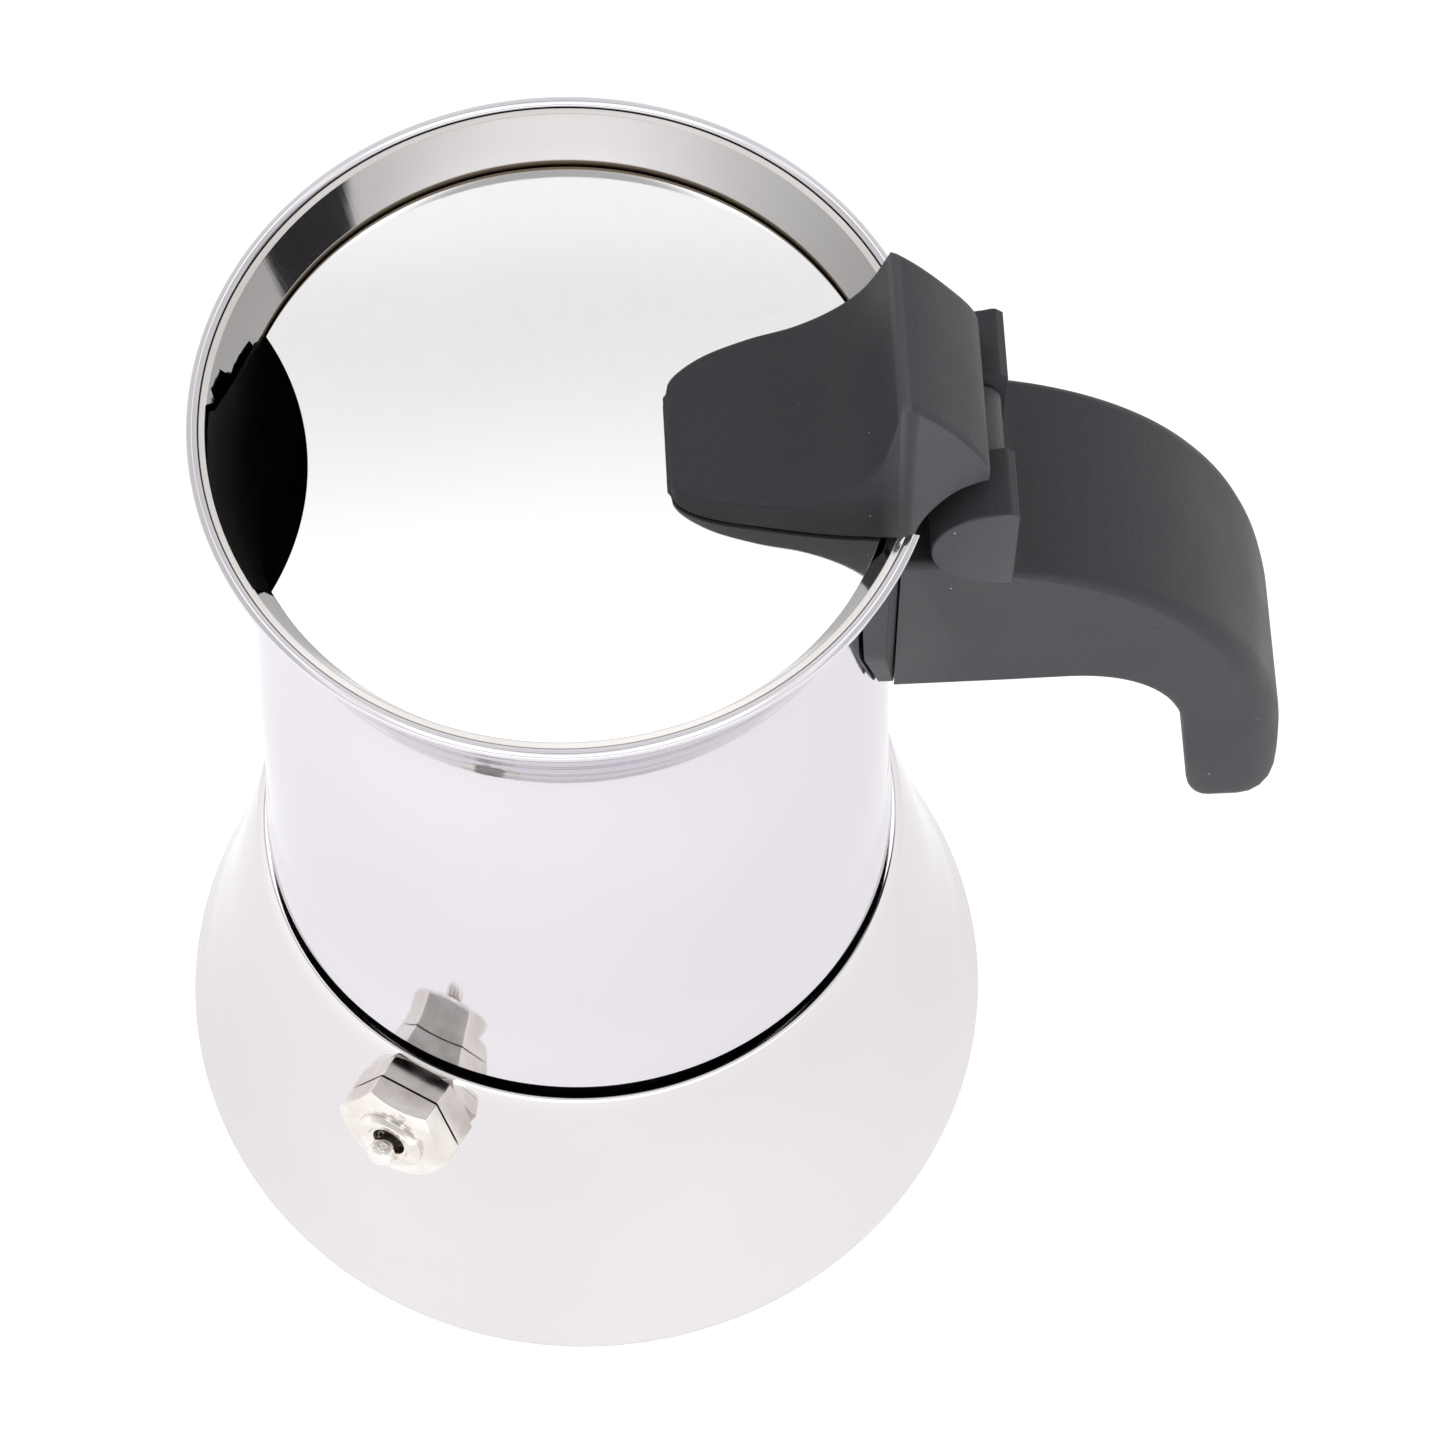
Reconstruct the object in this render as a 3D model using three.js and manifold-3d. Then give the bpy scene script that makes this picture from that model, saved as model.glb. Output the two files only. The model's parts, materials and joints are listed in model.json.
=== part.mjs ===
// Stovetop moka pot: a conical boiler, a tapered collector that screws onto it, a hinged lid
// with a lever knob, a hook handle and a spring-loaded safety valve.
// Millimetres, +Z up. The pot's axis is Z, it stands on z = 0, the handle points along +X
// and the spout along -X.
import * as THREE from 'three';
import { mergeVertices } from 'three/addons/utils/BufferGeometryUtils.js';
import Module from 'manifold-3d';

const wasm = await Module();
wasm.setup();

// ---- driving dimensions -------------------------------------------------------------------

const ROUND = 36;              // facets on large round parts
const SMALL_ROUND = 16;        // facets on small round parts
const FINE_ROUND = 72;         // facets where two round faces lie close together
const GAP = 0.3;               // clearance between parts that touch
const SHEET = 0.9;             // steel sheet thickness

const BOILER_R = 52.3;         // widest radius, just above the floor
const BOILER_BOTTOM = 1.8;     // underside of the boiler's own floor
const SHOULDER_Z = 58.2;       // flat shoulder under the collector
const SHOULDER_R = 40.4;       // outer radius at the top of the cone
const NECK_R = 33.0;           // thread root of the neck
const NECK_BORE_R = 31.2;
const NECK_TOP = 70.0;

const THREAD_PITCH = 3.0;
const THREAD_DEPTH = 1.2;
const THREAD_BITE = 0.3;       // how deep a ridge is rooted in its wall
const THREAD_START = 62.8;     // height where the neck's ridge begins
const THREAD_TURNS = 1.9;
const RING_THREAD_R = 34.6;    // root radius of the internal thread

const COLLECTOR_BOTTOM = 61.0;
const COLLECTOR_R = 39.2;      // at the flared bottom edge
const COLLECTOR_INSERT_R = 36.8; // outer radius of the parts fixed inside the skirt
const WAIST_R = 36.1;
const WAIST_Z = 138.0;
const RIM_R = 41.8;
const RIM_Z = 158.6;
const LIP_R = 37.2;            // inner radius of the band's lower edge
const BAND_KEEP_R = 39.7;      // the band stays whole outside this radius
const HINGE_NOTCH_HALF = 16.5; // opening in the rim for the hinge
const HINGE_NOTCH_Z = 146.0;

const LID_R = 36.8;
const LID_Z = 151.0;           // underside
const LID_THICK = 1.0;
const SCOOP_R = 32.3;          // radius of the bite in the lid over the spout
const SCOOP_DEPTH_X = -28.7;   // where the bite reaches on the centre line

const HINGE = new THREE.Vector3(45.5, 0, 151.5);
const BARREL_R = 3.6;          // the knob's own hinge barrel
const EAR_R = 8.2;             // round front of each hinge ear
const EAR_X = 48.4;            // centre of that curve
const EAR_Z = 148.4;
const EAR_INNER = 4.7;
const EAR_OUTER = 13.1;
const EAR_BACK_X = 49.8;
const TONGUE_HALF = 4.3;
const KNOB_CLEAR_R = 7.3;      // hollow in the knob around each ear
const PIN_R = 1.6;
const PIN_BORE_R = 1.9;
const PIN_HALF = 11.0;

const HANDLE_FRONT_R = 39.2;   // the hollow front bears on the saddle at this radius
const HANDLE_HALF = 12.8;
const HANDLE_BOTTOM = 114.0;
const HANDLE_TIP_Z = 78.6;
const HANDLE_TOP = 144.5;
const HANDLE_SCREW_X = 45.0;
const TAB_Z = 128.0;           // underside of the bracket's tab
const TAB_THICK = 1.2;

const GASKET_Z = 71.4;
const GASKET_THICK = 3.0;
const GASKET_IN = 23.8;
const GASKET_OUT = 32.4;

const VALVE_AZIMUTH = THREE.MathUtils.degToRad(-121.3);
const VALVE_TILT = THREE.MathUtils.degToRad(11.4);
const VALVE_ROOT_Z = 51.2;     // where the valve's axis meets the outside of the cone
const VALVE_ROOT_R = 41.7;
const HEX_FLATS = 13.4;        // across flats
const HEX_TURN = 0.47;

// ---- materials ----------------------------------------------------------------------------

const steel = new THREE.MeshStandardMaterial({ color: 0xd9d9dc, roughness: 0.12, metalness: 1 });
const satin = new THREE.MeshStandardMaterial({ color: 0xbfbfc2, roughness: 0.35, metalness: 1 });
const nickel = new THREE.MeshStandardMaterial({ color: 0xcfc8bd, roughness: 0.25, metalness: 1 });
const black = new THREE.MeshStandardMaterial({ color: 0x3a3a3e, roughness: 0.6, metalness: 0 });
const silicone = new THREE.MeshStandardMaterial({ color: 0xe6e3dc, roughness: 0.7, metalness: 0 });

// ---- solid helpers ------------------------------------------------------------------------

// Merge a geometry's shared vertices, drop its collapsed triangles and turn its faces outward.
function closed(geometry) {
  const bare = geometry.clone();
  bare.deleteAttribute('normal');
  bare.deleteAttribute('uv');
  const merged = mergeVertices(bare, 1e-3);
  const p = merged.attributes.position;
  const index = merged.index.array;
  const kept = [];
  let volume = 0;
  const a = new THREE.Vector3();
  const b = new THREE.Vector3();
  const c = new THREE.Vector3();
  for (let i = 0; i < index.length; i += 3) {
    const [i0, i1, i2] = [index[i], index[i + 1], index[i + 2]];
    if (i0 === i1 || i1 === i2 || i2 === i0) continue;
    kept.push(i0, i1, i2);
    volume += a.fromBufferAttribute(p, i0).dot(
      b.fromBufferAttribute(p, i1).cross(c.fromBufferAttribute(p, i2)));
  }
  if (volume < 0) kept.reverse();
  merged.setIndex(kept);
  return merged;
}

function toSolid(geometry) {
  const shape = closed(geometry);
  return new wasm.Manifold(new wasm.Mesh({
    numProp: 3,
    vertProperties: new Float32Array(shape.attributes.position.array),
    triVerts: new Uint32Array(shape.index.array),
  }));
}

function toGeometry(solid) {
  const { vertProperties, triVerts } = solid.getMesh();
  const geometry = new THREE.BufferGeometry();
  geometry.setAttribute('position', new THREE.BufferAttribute(vertProperties, 3));
  geometry.setIndex(new THREE.BufferAttribute(triVerts, 1));
  return geometry;
}

// A body of revolution about Z from a closed [radius, height] outline.
function lathe(outline, facets = ROUND) {
  const points = outline.map(([r, z]) => new THREE.Vector2(r, z));
  const onAxis = points[0].x === 0 && points.at(-1).x === 0;
  if (!onAxis) points.push(points[0].clone());
  return new THREE.LatheGeometry(points, facets).rotateX(Math.PI / 2);
}

function rod(radius, z0, z1, facets = SMALL_ROUND) {
  return lathe([[0, z0], [radius, z0], [radius, z1], [0, z1]], facets);
}

function tube(inner, outer, z0, z1, facets = SMALL_ROUND) {
  return lathe([[outer, z0], [outer, z1], [inner, z1], [inner, z0]], facets);
}

function box(x0, x1, y0, y1, z0, z1) {
  return new THREE.BoxGeometry(x1 - x0, y1 - y0, z1 - z0)
    .translate((x0 + x1) / 2, (y0 + y1) / 2, (z0 + z1) / 2);
}

// A rod along Y, centred on a point of the XZ plane.
function crossRod(radius, x, z, y0, y1, facets = 24) {
  return new THREE.CylinderGeometry(radius, radius, y1 - y0, facets)
    .translate(x, (y0 + y1) / 2, z);
}

// Extrude a shape drawn in the XZ plane along Y, from y0 to y1, with a rounded edge.
function slab(shape, y0, y1, edge, curveSegments = 8) {
  return new THREE.ExtrudeGeometry(shape, {
    depth: y1 - y0 - 2 * edge,
    bevelEnabled: edge > 0,
    bevelSize: edge,
    bevelThickness: edge,
    bevelOffset: -edge,
    bevelSegments: 2,
    curveSegments,
  }).rotateX(Math.PI / 2).translate(0, y1 - edge, 0);
}

// Join rings of equal point count into one closed body with flat ends.
function loft(rings) {
  const count = rings[0].length;
  const position = rings.flat().flatMap((point) => [point.x, point.y, point.z]);
  const index = [];
  for (let i = 0; i + 1 < rings.length; i += 1) {
    for (let j = 0; j < count; j += 1) {
      const k = (j + 1) % count;
      const [a, b] = [i * count + j, i * count + k];
      index.push(a, b, b + count, a, b + count, a + count);
    }
  }
  const last = (rings.length - 1) * count;
  for (let j = 1; j + 1 < count; j += 1) {
    index.push(0, j + 1, j, last, last + j, last + j + 1);
  }
  const geometry = new THREE.BufferGeometry();
  geometry.setAttribute('position', new THREE.Float32BufferAttribute(position, 3));
  geometry.setIndex(index);
  return geometry;
}

// A helical ridge on a wall of the given radius; depth is negative for an internal thread.
function threadRidge(wallRadius, depth, zStart, turns) {
  const fade = 0.08 * turns;
  const steps = Math.round(turns * ROUND);
  const root = wallRadius - Math.sign(depth) * THREAD_BITE;
  const rings = [];
  for (let i = 0; i <= steps; i += 1) {
    const t = i / steps;
    const angle = t * turns * 2 * Math.PI;
    const rise = Math.min(1, (Math.min(t, 1 - t) + 0.02) / fade);
    const crest = wallRadius + depth * rise;
    const z = zStart + (THREAD_PITCH * angle) / (2 * Math.PI);
    const profile = [[root, -0.75], [crest, -0.3], [crest, 0.3], [root, 0.75]];
    rings.push(profile.map(([r, dz]) => new THREE.Vector3(
      r * Math.cos(angle), r * Math.sin(angle), z + dz)));
  }
  return loft(rings);
}

function hexagon(flats, z0, z1, edge, turn = 0) {
  const corner = flats / Math.sqrt(3);
  const shape = new THREE.Shape();
  for (let i = 0; i < 6; i += 1) {
    const angle = turn + (i * Math.PI) / 3;
    const [x, y] = [corner * Math.cos(angle), corner * Math.sin(angle)];
    if (i === 0) shape.moveTo(x, y);
    else shape.lineTo(x, y);
  }
  shape.closePath();
  return new THREE.ExtrudeGeometry(shape, {
    depth: z1 - z0 - 2 * edge,
    bevelEnabled: true,
    bevelSize: edge,
    bevelThickness: edge,
    bevelOffset: -edge,
    bevelSegments: 1,
  }).translate(0, 0, z0 + edge);
}

const part = new THREE.Group();

function add(name, shape, material, parent = part) {
  const geometry = shape.isBufferGeometry ? closed(shape) : toGeometry(shape);
  const mesh = new THREE.Mesh(geometry, material);
  mesh.name = name;
  parent.add(mesh);
}

// ---- boiler -------------------------------------------------------------------------------

// The frame whose Z axis runs out of the boiler along the valve.
const valve = new THREE.Group();
const valveAxis = new THREE.Vector3(
  Math.cos(VALVE_AZIMUTH) * Math.cos(VALVE_TILT),
  Math.sin(VALVE_AZIMUTH) * Math.cos(VALVE_TILT),
  Math.sin(VALVE_TILT));
valve.quaternion.setFromUnitVectors(new THREE.Vector3(0, 0, 1), valveAxis);
valve.position.set(
  VALVE_ROOT_R * Math.cos(VALVE_AZIMUTH), VALVE_ROOT_R * Math.sin(VALVE_AZIMUTH), VALVE_ROOT_Z);
valve.updateMatrix();
part.add(valve);

const SHANK_R = 4.6;
const BORE_R = 3.0;

function boilerShell() {
  const body = toSolid(lathe([
    [0, BOILER_BOTTOM], [48.8, BOILER_BOTTOM], [51.3, 2.7], [BOILER_R, 4.8], [51.8, 6.6],
    [48.9, 16.5], [46.5, 26.8], [SHOULDER_R, 57.4], [39.6, SHOULDER_Z], [NECK_R, SHOULDER_Z],
    [NECK_R, NECK_TOP], [NECK_BORE_R, NECK_TOP], [NECK_BORE_R, 57.2], [38.9, 56.9],
    [45.4, 26.4], [47.8, 16.2], [50.4, 7.0], [50.4, 4.8], [48.6, 3.4], [0, 3.4],
  ]));
  const ridge = toSolid(threadRidge(NECK_R, THREAD_DEPTH, THREAD_START, THREAD_TURNS));
  const hole = toSolid(rod(SHANK_R + GAP, -6, 6).applyMatrix4(valve.matrix));
  return body.add(ridge).subtract(hole);
}

function baseDisc() {
  return lathe([[0, 0], [44.5, 0], [46, BOILER_BOTTOM - GAP], [0, BOILER_BOTTOM - GAP]]);
}

// ---- safety valve, along its own Z from the outer face of the cone --------------------------

function valveWasher() {
  return tube(SHANK_R + GAP, 5.9, -3.7, -2.8);
}

function valveCollar() {
  const hex = toSolid(hexagon(HEX_FLATS, 0.4, 3.2, 0.5, HEX_TURN));
  return hex.subtract(toSolid(rod(SHANK_R + GAP, -1, 5)));
}

function valveBody() {
  const head = toSolid(hexagon(HEX_FLATS, 3.5, 6.8, 0.7, HEX_TURN));
  const shank = toSolid(rod(SHANK_R, -7.6, 4.0));
  const lip = toSolid(lathe([[0, 6], [4.4, 6], [4.2, 7.6], [3.7, 7.9], [0, 7.9]], 24));
  const chamber = toSolid(rod(BORE_R, -9, 5.9));
  const mouth = toSolid(rod(2.2, 5, 9));
  return head.add(shank).add(lip).subtract(chamber).subtract(mouth);
}

function valveNut() {
  const hex = toSolid(hexagon(11.2, -7.2, -4.0, 0.4, HEX_TURN));
  return hex.subtract(toSolid(rod(SHANK_R + GAP, -8, 0)));
}

function valveSeat() {
  return tube(1.4, BORE_R - GAP, -7.5, -6.5);
}

function valvePlunger() {
  return lathe([
    [0, -6.2], [2.5, -6.2], [2.5, -5.2], [1.1, -5.2], [1.1, 8.3], [1.7, 8.6], [1.7, 9.9],
    [1.3, 10.4], [0, 10.4],
  ], 16);
}

function valveSpring() {
  const turns = 5;
  const steps = 45;
  const [z0, z1] = [-4.6, 5.3];
  const coil = 2.1;
  const points = [];
  for (let i = 0; i <= steps; i += 1) {
    const angle = (i / steps) * turns * 2 * Math.PI;
    points.push(new THREE.Vector3(
      coil * Math.cos(angle), coil * Math.sin(angle), z0 + ((z1 - z0) * i) / steps));
  }
  const section = new THREE.Shape().absarc(0, 0, 0.35, 0, 2 * Math.PI);
  return new THREE.ExtrudeGeometry(section, {
    steps, curveSegments: 2, extrudePath: new THREE.CatmullRomCurve3(points),
  });
}

// ---- coffee funnel --------------------------------------------------------------------------

function funnelBasket() {
  return lathe([
    [5.0, 38.4], [5.8, 38.4], [5.8, 40.9], [28.2, 49.4], [30.5, 50.4], [30.5, 70.3],
    [32.6, 70.3], [32.6, 71.1], [29.7, 71.1], [29.7, 50.9], [27.6, 50.3], [5.0, 41.7],
  ]);
}

// A round plate pierced by rings of six-sided holes.
function perforated(radius, z0, z1, rings, spacing, holeRadius) {
  let plate = toSolid(rod(radius, z0, z1, ROUND));
  const holes = [];
  for (let ring = 0; ring <= rings; ring += 1) {
    const count = Math.max(1, ring * 6);
    for (let i = 0; i < count; i += 1) {
      const angle = (i / count) * 2 * Math.PI;
      const [x, y] = [ring * spacing * Math.cos(angle), ring * spacing * Math.sin(angle)];
      holes.push(toSolid(rod(holeRadius, z0 - 1, z1 + 1, 6).translate(x, y, 0)));
    }
  }
  for (const hole of holes) plate = plate.subtract(hole);
  return plate;
}

// ---- collector ------------------------------------------------------------------------------

function filterPlate() {
  const disc = perforated(GASKET_IN - 0.8, 72.2, 72.9, 2, 8.0, 1.2);
  const rim = toSolid(lathe([
    [GASKET_IN - 1.2, 72.2], [GASKET_IN - 0.4, 72.2], [GASKET_IN - 0.4, 74.7], [31.6, 74.7],
    [31.6, 75.3], [GASKET_IN - 1.2, 75.3],
  ]));
  return disc.add(rim);
}

const collectorWall = [
  [COLLECTOR_R, COLLECTOR_BOTTOM], [39.0, 65], [38.7, 69], [38.4, 73], [38.2, 80], [37.7, 99],
  [WAIST_R, WAIST_Z], [36.7, 143.5], [37.8, 148], [39.6, 152.8], [41.0, 156.6], [RIM_R, RIM_Z],
];

function collectorShell() {
  const inner = collectorWall.slice(0, -1).reverse().map(([r, z]) => [r - SHEET, z + 0.15]);
  inner[inner.length - 1][1] = COLLECTOR_BOTTOM;
  const outline = [...collectorWall, [RIM_R - 0.2, 159.3], [RIM_R - 0.8, 159.5],
    [RIM_R - 1.3, 159.0], ...inner];
  return toSolid(lathe(outline)).subtract(hingeNotch());
}

function hingeNotch() {
  return toSolid(box(25, 60, -HINGE_NOTCH_HALF, HINGE_NOTCH_HALF, HINGE_NOTCH_Z, 170));
}

// The spout: the band is cut back towards the mouth, in a curve that ends in a step each side.
function spoutCut() {
  const shape = new THREE.Shape();
  shape.moveTo(-50, 3.6);
  shape.lineTo(-39.6, 3.6);
  shape.lineTo(-38.5, 5.2);
  shape.lineTo(-37.0, 9.4);
  shape.lineTo(-34.3, 14.7);
  shape.lineTo(-32.6, 16.4);
  shape.lineTo(-20, 10);
  shape.lineTo(-20, -10);
  shape.lineTo(-32.2, -17.0);
  shape.lineTo(-33.8, -18.1);
  shape.lineTo(-34.8, -19.6);
  shape.lineTo(-50, -22);
  shape.closePath();
  const prism = toSolid(new THREE.ExtrudeGeometry(shape, { depth: 30, bevelEnabled: false })
    .translate(0, 0, 140));
  return prism.intersect(toSolid(rod(BAND_KEEP_R, 145, 165, ROUND)));
}

function rimBand() {
  const band = toSolid(lathe([
    [LIP_R, 151.8], [LIP_R + 0.6, 151.8], [38.6, 155.0], [39.7, 157.2], [40.1, 158.7],
    [39.5, 158.9], [38.1, 155.4], [LIP_R, 153.2],
  ]));
  return band.subtract(hingeNotch()).subtract(spoutCut());
}

function threadedRing() {
  const ring = toSolid(tube(RING_THREAD_R, COLLECTOR_INSERT_R, COLLECTOR_BOTTOM + GAP, 75.3, ROUND));
  const start = THREAD_START - THREAD_PITCH / 2 + THREAD_PITCH;
  const ridge = toSolid(threadRidge(RING_THREAD_R, -THREAD_DEPTH, start, THREAD_TURNS));
  return ring.add(ridge);
}

function collectorFloor() {
  return lathe([
    [COLLECTOR_INSERT_R, 75.6], [COLLECTOR_INSERT_R, 76.7], [24.2, 76.7], [16.6, 79.5], [9.3, 84.8], [7.6, 88.2],
    [6.6, 88.2], [8.3, 84.2], [16.0, 78.5], [24.0, 75.6],
  ]);
}

function column() {
  return lathe([
    [6.7, 88.5], [6.2, 95], [4.7, 114], [4.7, 128], [3.8, 128], [3.8, 114], [5.2, 95],
    [5.7, 88.5],
  ], 24);
}

function columnCap() {
  const cap = toSolid(lathe([
    [5.0, 121.5], [5.9, 121.5], [5.9, 131], [4.5, 133], [0, 133.8], [0, 132.8], [4.0, 132.2],
    [5.0, 130.8],
  ], 24));
  return cap.subtract(toSolid(box(-8, 8, -2, 2, 128.6, 130.6)));
}

// ---- handle ---------------------------------------------------------------------------------

function handleBracket() {
  const plate = toSolid(box(37.45, 38.45, -7, 7, 118, 145));
  const tab = toSolid(box(38, 50, -7, 7, TAB_Z, TAB_Z + TAB_THICK));
  const hole = toSolid(rod(2.3, TAB_Z - 2, TAB_Z + 4).translate(HANDLE_SCREW_X, 0, 0));
  return plate.add(tab).subtract(hole);
}

function bracketPocket(x1) {
  const plate = toSolid(box(30, 38.45 + GAP, -7.3, 7.3, 117.7, 145.3));
  const tab = toSolid(box(30, x1, -7.3, 7.3, TAB_Z - GAP, TAB_Z + TAB_THICK + GAP));
  return plate.add(tab);
}

// A curved pad between the collector's wall and the hollow front of the handle, shaped like a shield.
function handleSaddle() {
  const [half, halfLow] = [16, 11.8];
  const [bottom, knee, top, corner] = [113.4, 128, 149.5, 4];
  const shape = new THREE.Shape();
  shape.moveTo(-half, top);
  shape.lineTo(-half, knee);
  shape.lineTo(-halfLow - 0.9, bottom + corner);
  shape.quadraticCurveTo(-halfLow, bottom, -halfLow + corner, bottom);
  shape.lineTo(halfLow - corner, bottom);
  shape.quadraticCurveTo(halfLow, bottom, halfLow + 0.9, bottom + corner);
  shape.lineTo(half, knee);
  shape.lineTo(half, top);
  shape.closePath();
  const shield = toSolid(new THREE.ExtrudeGeometry(shape, {
    depth: 15, bevelEnabled: false, curveSegments: 5,
  }).rotateX(Math.PI / 2).rotateZ(Math.PI / 2).translate(30, 0, 0));
  const pad = shield.intersect(toSolid(rod(HANDLE_FRONT_R - GAP, 100, 160, FINE_ROUND)));
  const wall = collectorWall.map(([r, z]) => [r + GAP, z]);
  const body = toSolid(lathe([[0, COLLECTOR_BOTTOM], ...wall, [0, RIM_Z]], FINE_ROUND));
  const above = toSolid(rod(LIP_R, HINGE_NOTCH_Z, RIM_Z, FINE_ROUND));
  const skirt = body.subtract(toSolid(box(0, 60, -40, 40, HINGE_NOTCH_Z + GAP, 170))).add(above);
  return pad.subtract(skirt).subtract(toSolid(box(30, 60, -7.3, 7.3, 117.7, 145.3)));
}

function handleProfile() {
  const shape = new THREE.Shape();
  shape.moveTo(HANDLE_FRONT_R - 4, HANDLE_BOTTOM);
  shape.lineTo(57, HANDLE_BOTTOM);
  shape.bezierCurveTo(67, HANDLE_BOTTOM, 72, 106, 72.6, 93.6);
  shape.lineTo(73.8, 82);
  shape.quadraticCurveTo(74.1, HANDLE_TIP_Z, 76.6, HANDLE_TIP_Z);
  shape.lineTo(81.8, HANDLE_TIP_Z);
  shape.quadraticCurveTo(84.9, HANDLE_TIP_Z, 84.9, 83);
  shape.bezierCurveTo(84.9, 108, 76, 134, 50, 141.6);
  shape.lineTo(47, HANDLE_TOP);
  shape.lineTo(HANDLE_FRONT_R - 4, HANDLE_TOP);
  shape.closePath();
  return shape;
}

function earProfile() {
  const shape = new THREE.Shape();
  shape.moveTo(EAR_X, EAR_Z - EAR_R);
  shape.lineTo(EAR_BACK_X, EAR_Z - EAR_R);
  shape.lineTo(EAR_BACK_X, EAR_Z + EAR_R - 0.9);
  shape.lineTo(EAR_BACK_X - 0.9, EAR_Z + EAR_R);
  shape.lineTo(EAR_X, EAR_Z + EAR_R);
  shape.absarc(EAR_X, EAR_Z, EAR_R, Math.PI / 2, 1.5 * Math.PI, false);
  shape.closePath();
  return shape;
}

function handle() {
  let body = toSolid(slab(handleProfile(), -HANDLE_HALF, HANDLE_HALF, 1.2));
  body = body.add(toSolid(slab(earProfile(), EAR_INNER, EAR_OUTER, 0.5)));
  body = body.add(toSolid(slab(earProfile(), -EAR_OUTER, -EAR_INNER, 0.5)));
  const bore = crossRod(PIN_BORE_R, HINGE.x, HINGE.z, -PIN_HALF - GAP, PIN_HALF + GAP, 16);
  const screwWay = rod(2.3, 110, TAB_Z).translate(HANDLE_SCREW_X, 0, 0);
  const headWay = rod(4.2, 110, 119.3).translate(HANDLE_SCREW_X, 0, 0);
  const nutWay = rod(4.6, TAB_Z, 134.5).translate(HANDLE_SCREW_X, 0, 0);
  const nutSlot = box(HANDLE_FRONT_R - 1, HANDLE_SCREW_X, -4.6, 4.6, TAB_Z, 134.5);
  const front = rod(HANDLE_FRONT_R, 100, 160, FINE_ROUND);
  for (const cut of [front, bore, screwWay, headWay, nutWay, nutSlot]) {
    body = body.subtract(toSolid(cut));
  }
  return body.subtract(bracketPocket(50.5));
}

function handleScrew() {
  return lathe([[0, 115.4], [3.6, 115.4], [3.6, 118.2], [3.2, 119], [1.9, 119], [1.9, 133.8],
    [0, 133.8]]).translate(HANDLE_SCREW_X, 0, 0);
}

function handleNut() {
  const hex = toSolid(hexagon(7, TAB_Z + TAB_THICK + GAP, 132.6, 0.4));
  return hex.subtract(toSolid(rod(1.9 + GAP, 120, 140))).translate([HANDLE_SCREW_X, 0, 0]);
}

function hingePin() {
  return crossRod(PIN_R, HINGE.x, HINGE.z, -PIN_HALF, PIN_HALF, 16);
}

// ---- lid ------------------------------------------------------------------------------------

const KNOB_SCREWS = [20, 31];
const SCREW_R = 1.5;

function lid() {
  let disc = toSolid(lathe([
    [0, LID_Z], [LID_R - 0.4, LID_Z], [LID_R, LID_Z + 0.4], [LID_R, LID_Z + LID_THICK - 0.2],
    [LID_R - 0.3, LID_Z + LID_THICK], [0, LID_Z + LID_THICK],
  ]));
  const bite = rod(SCOOP_R, 140, 160, 48).translate(SCOOP_DEPTH_X - SCOOP_R, 0, 0);
  disc = disc.subtract(toSolid(bite));
  for (const x of KNOB_SCREWS) {
    disc = disc.subtract(toSolid(rod(SCREW_R + GAP, 140, 160, 16).translate(x, 0, 0)));
  }
  return disc;
}

const KNOB_BACK_X = 46.6;

// The lever's cross-sections along X: top height, half-width at the top, half-width at the foot.
const KNOB_STATIONS = [
  [11.2, 153.8, 5.0, 6.2], [12.6, 154.8, 7.2, 8.3], [16, 156.0, 9.2, 9.9],
  [21, 157.0, 10.6, 11.0], [26, 158.0, 11.3, 12.0], [30, 160.2, 11.8, 12.6],
  [33, 163.8, 11.8, 12.9], [34.8, 168.5, 11.2, 13.1], [36.4, 176.2, 9.8, 13.2],
  [37.2, 175.8, 9.8, 13.2], [39.0, 173.9, 9.6, 12.9], [41.0, 171.4, 9.5, 12.3],
  [43.2, 168.1, 9.5, 11.4], [44.9, 165.2, 9.6, 10.8], [46.0, 162.8, 9.7, 10.2],
  [KNOB_BACK_X, 160.6, 9.7, 9.9],
];
const KNOB_FOOT = LID_Z + LID_THICK + GAP;

function lidKnob() {
  const edge = 0.9;
  const rings = KNOB_STATIONS.map(([x, top, halfTop, halfFoot]) => [
    [-halfFoot, KNOB_FOOT], [halfFoot, KNOB_FOOT], [halfTop, top - edge],
    [halfTop - edge, top], [edge - halfTop, top], [-halfTop, top - edge],
  ].map(([y, z]) => new THREE.Vector3(x, y, z)));
  let body = toSolid(loft(rings));
  const web = box(41, KNOB_BACK_X, -TONGUE_HALF, TONGUE_HALF, HINGE.z, 160);
  for (const side of [-1, 1]) {
    const ends = [side * (TONGUE_HALF + 0.05), side * 20].sort((a, b) => a - b);
    const hollow = crossRod(KNOB_CLEAR_R, HINGE.x, HINGE.z, ends[0], ends[1]);
    body = body.subtract(toSolid(hollow));
    const behind = box(HINGE.x, 60, ends[0], ends[1], 140, HINGE.z + KNOB_CLEAR_R);
    body = body.subtract(toSolid(behind));
  }
  body = body.add(toSolid(web));
  body = body.add(toSolid(crossRod(BARREL_R, HINGE.x, HINGE.z, -TONGUE_HALF, TONGUE_HALF)));
  body = body.subtract(toSolid(crossRod(PIN_BORE_R, HINGE.x, HINGE.z, -20, 20, 16)));
  for (const x of KNOB_SCREWS) {
    body = body.subtract(toSolid(rod(SCREW_R + GAP, 140, 156.2, 16).translate(x, 0, 0)));
  }
  return body;
}

function knobScrew(x) {
  return lathe([
    [0, 149.4], [2.4, 149.4], [3.1, 150.2], [3.1, 150.7], [SCREW_R, 150.7], [SCREW_R, 155.4],
    [0, 155.4],
  ], 16).translate(x, 0, 0);
}

// ---- assembly -------------------------------------------------------------------------------

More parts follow.
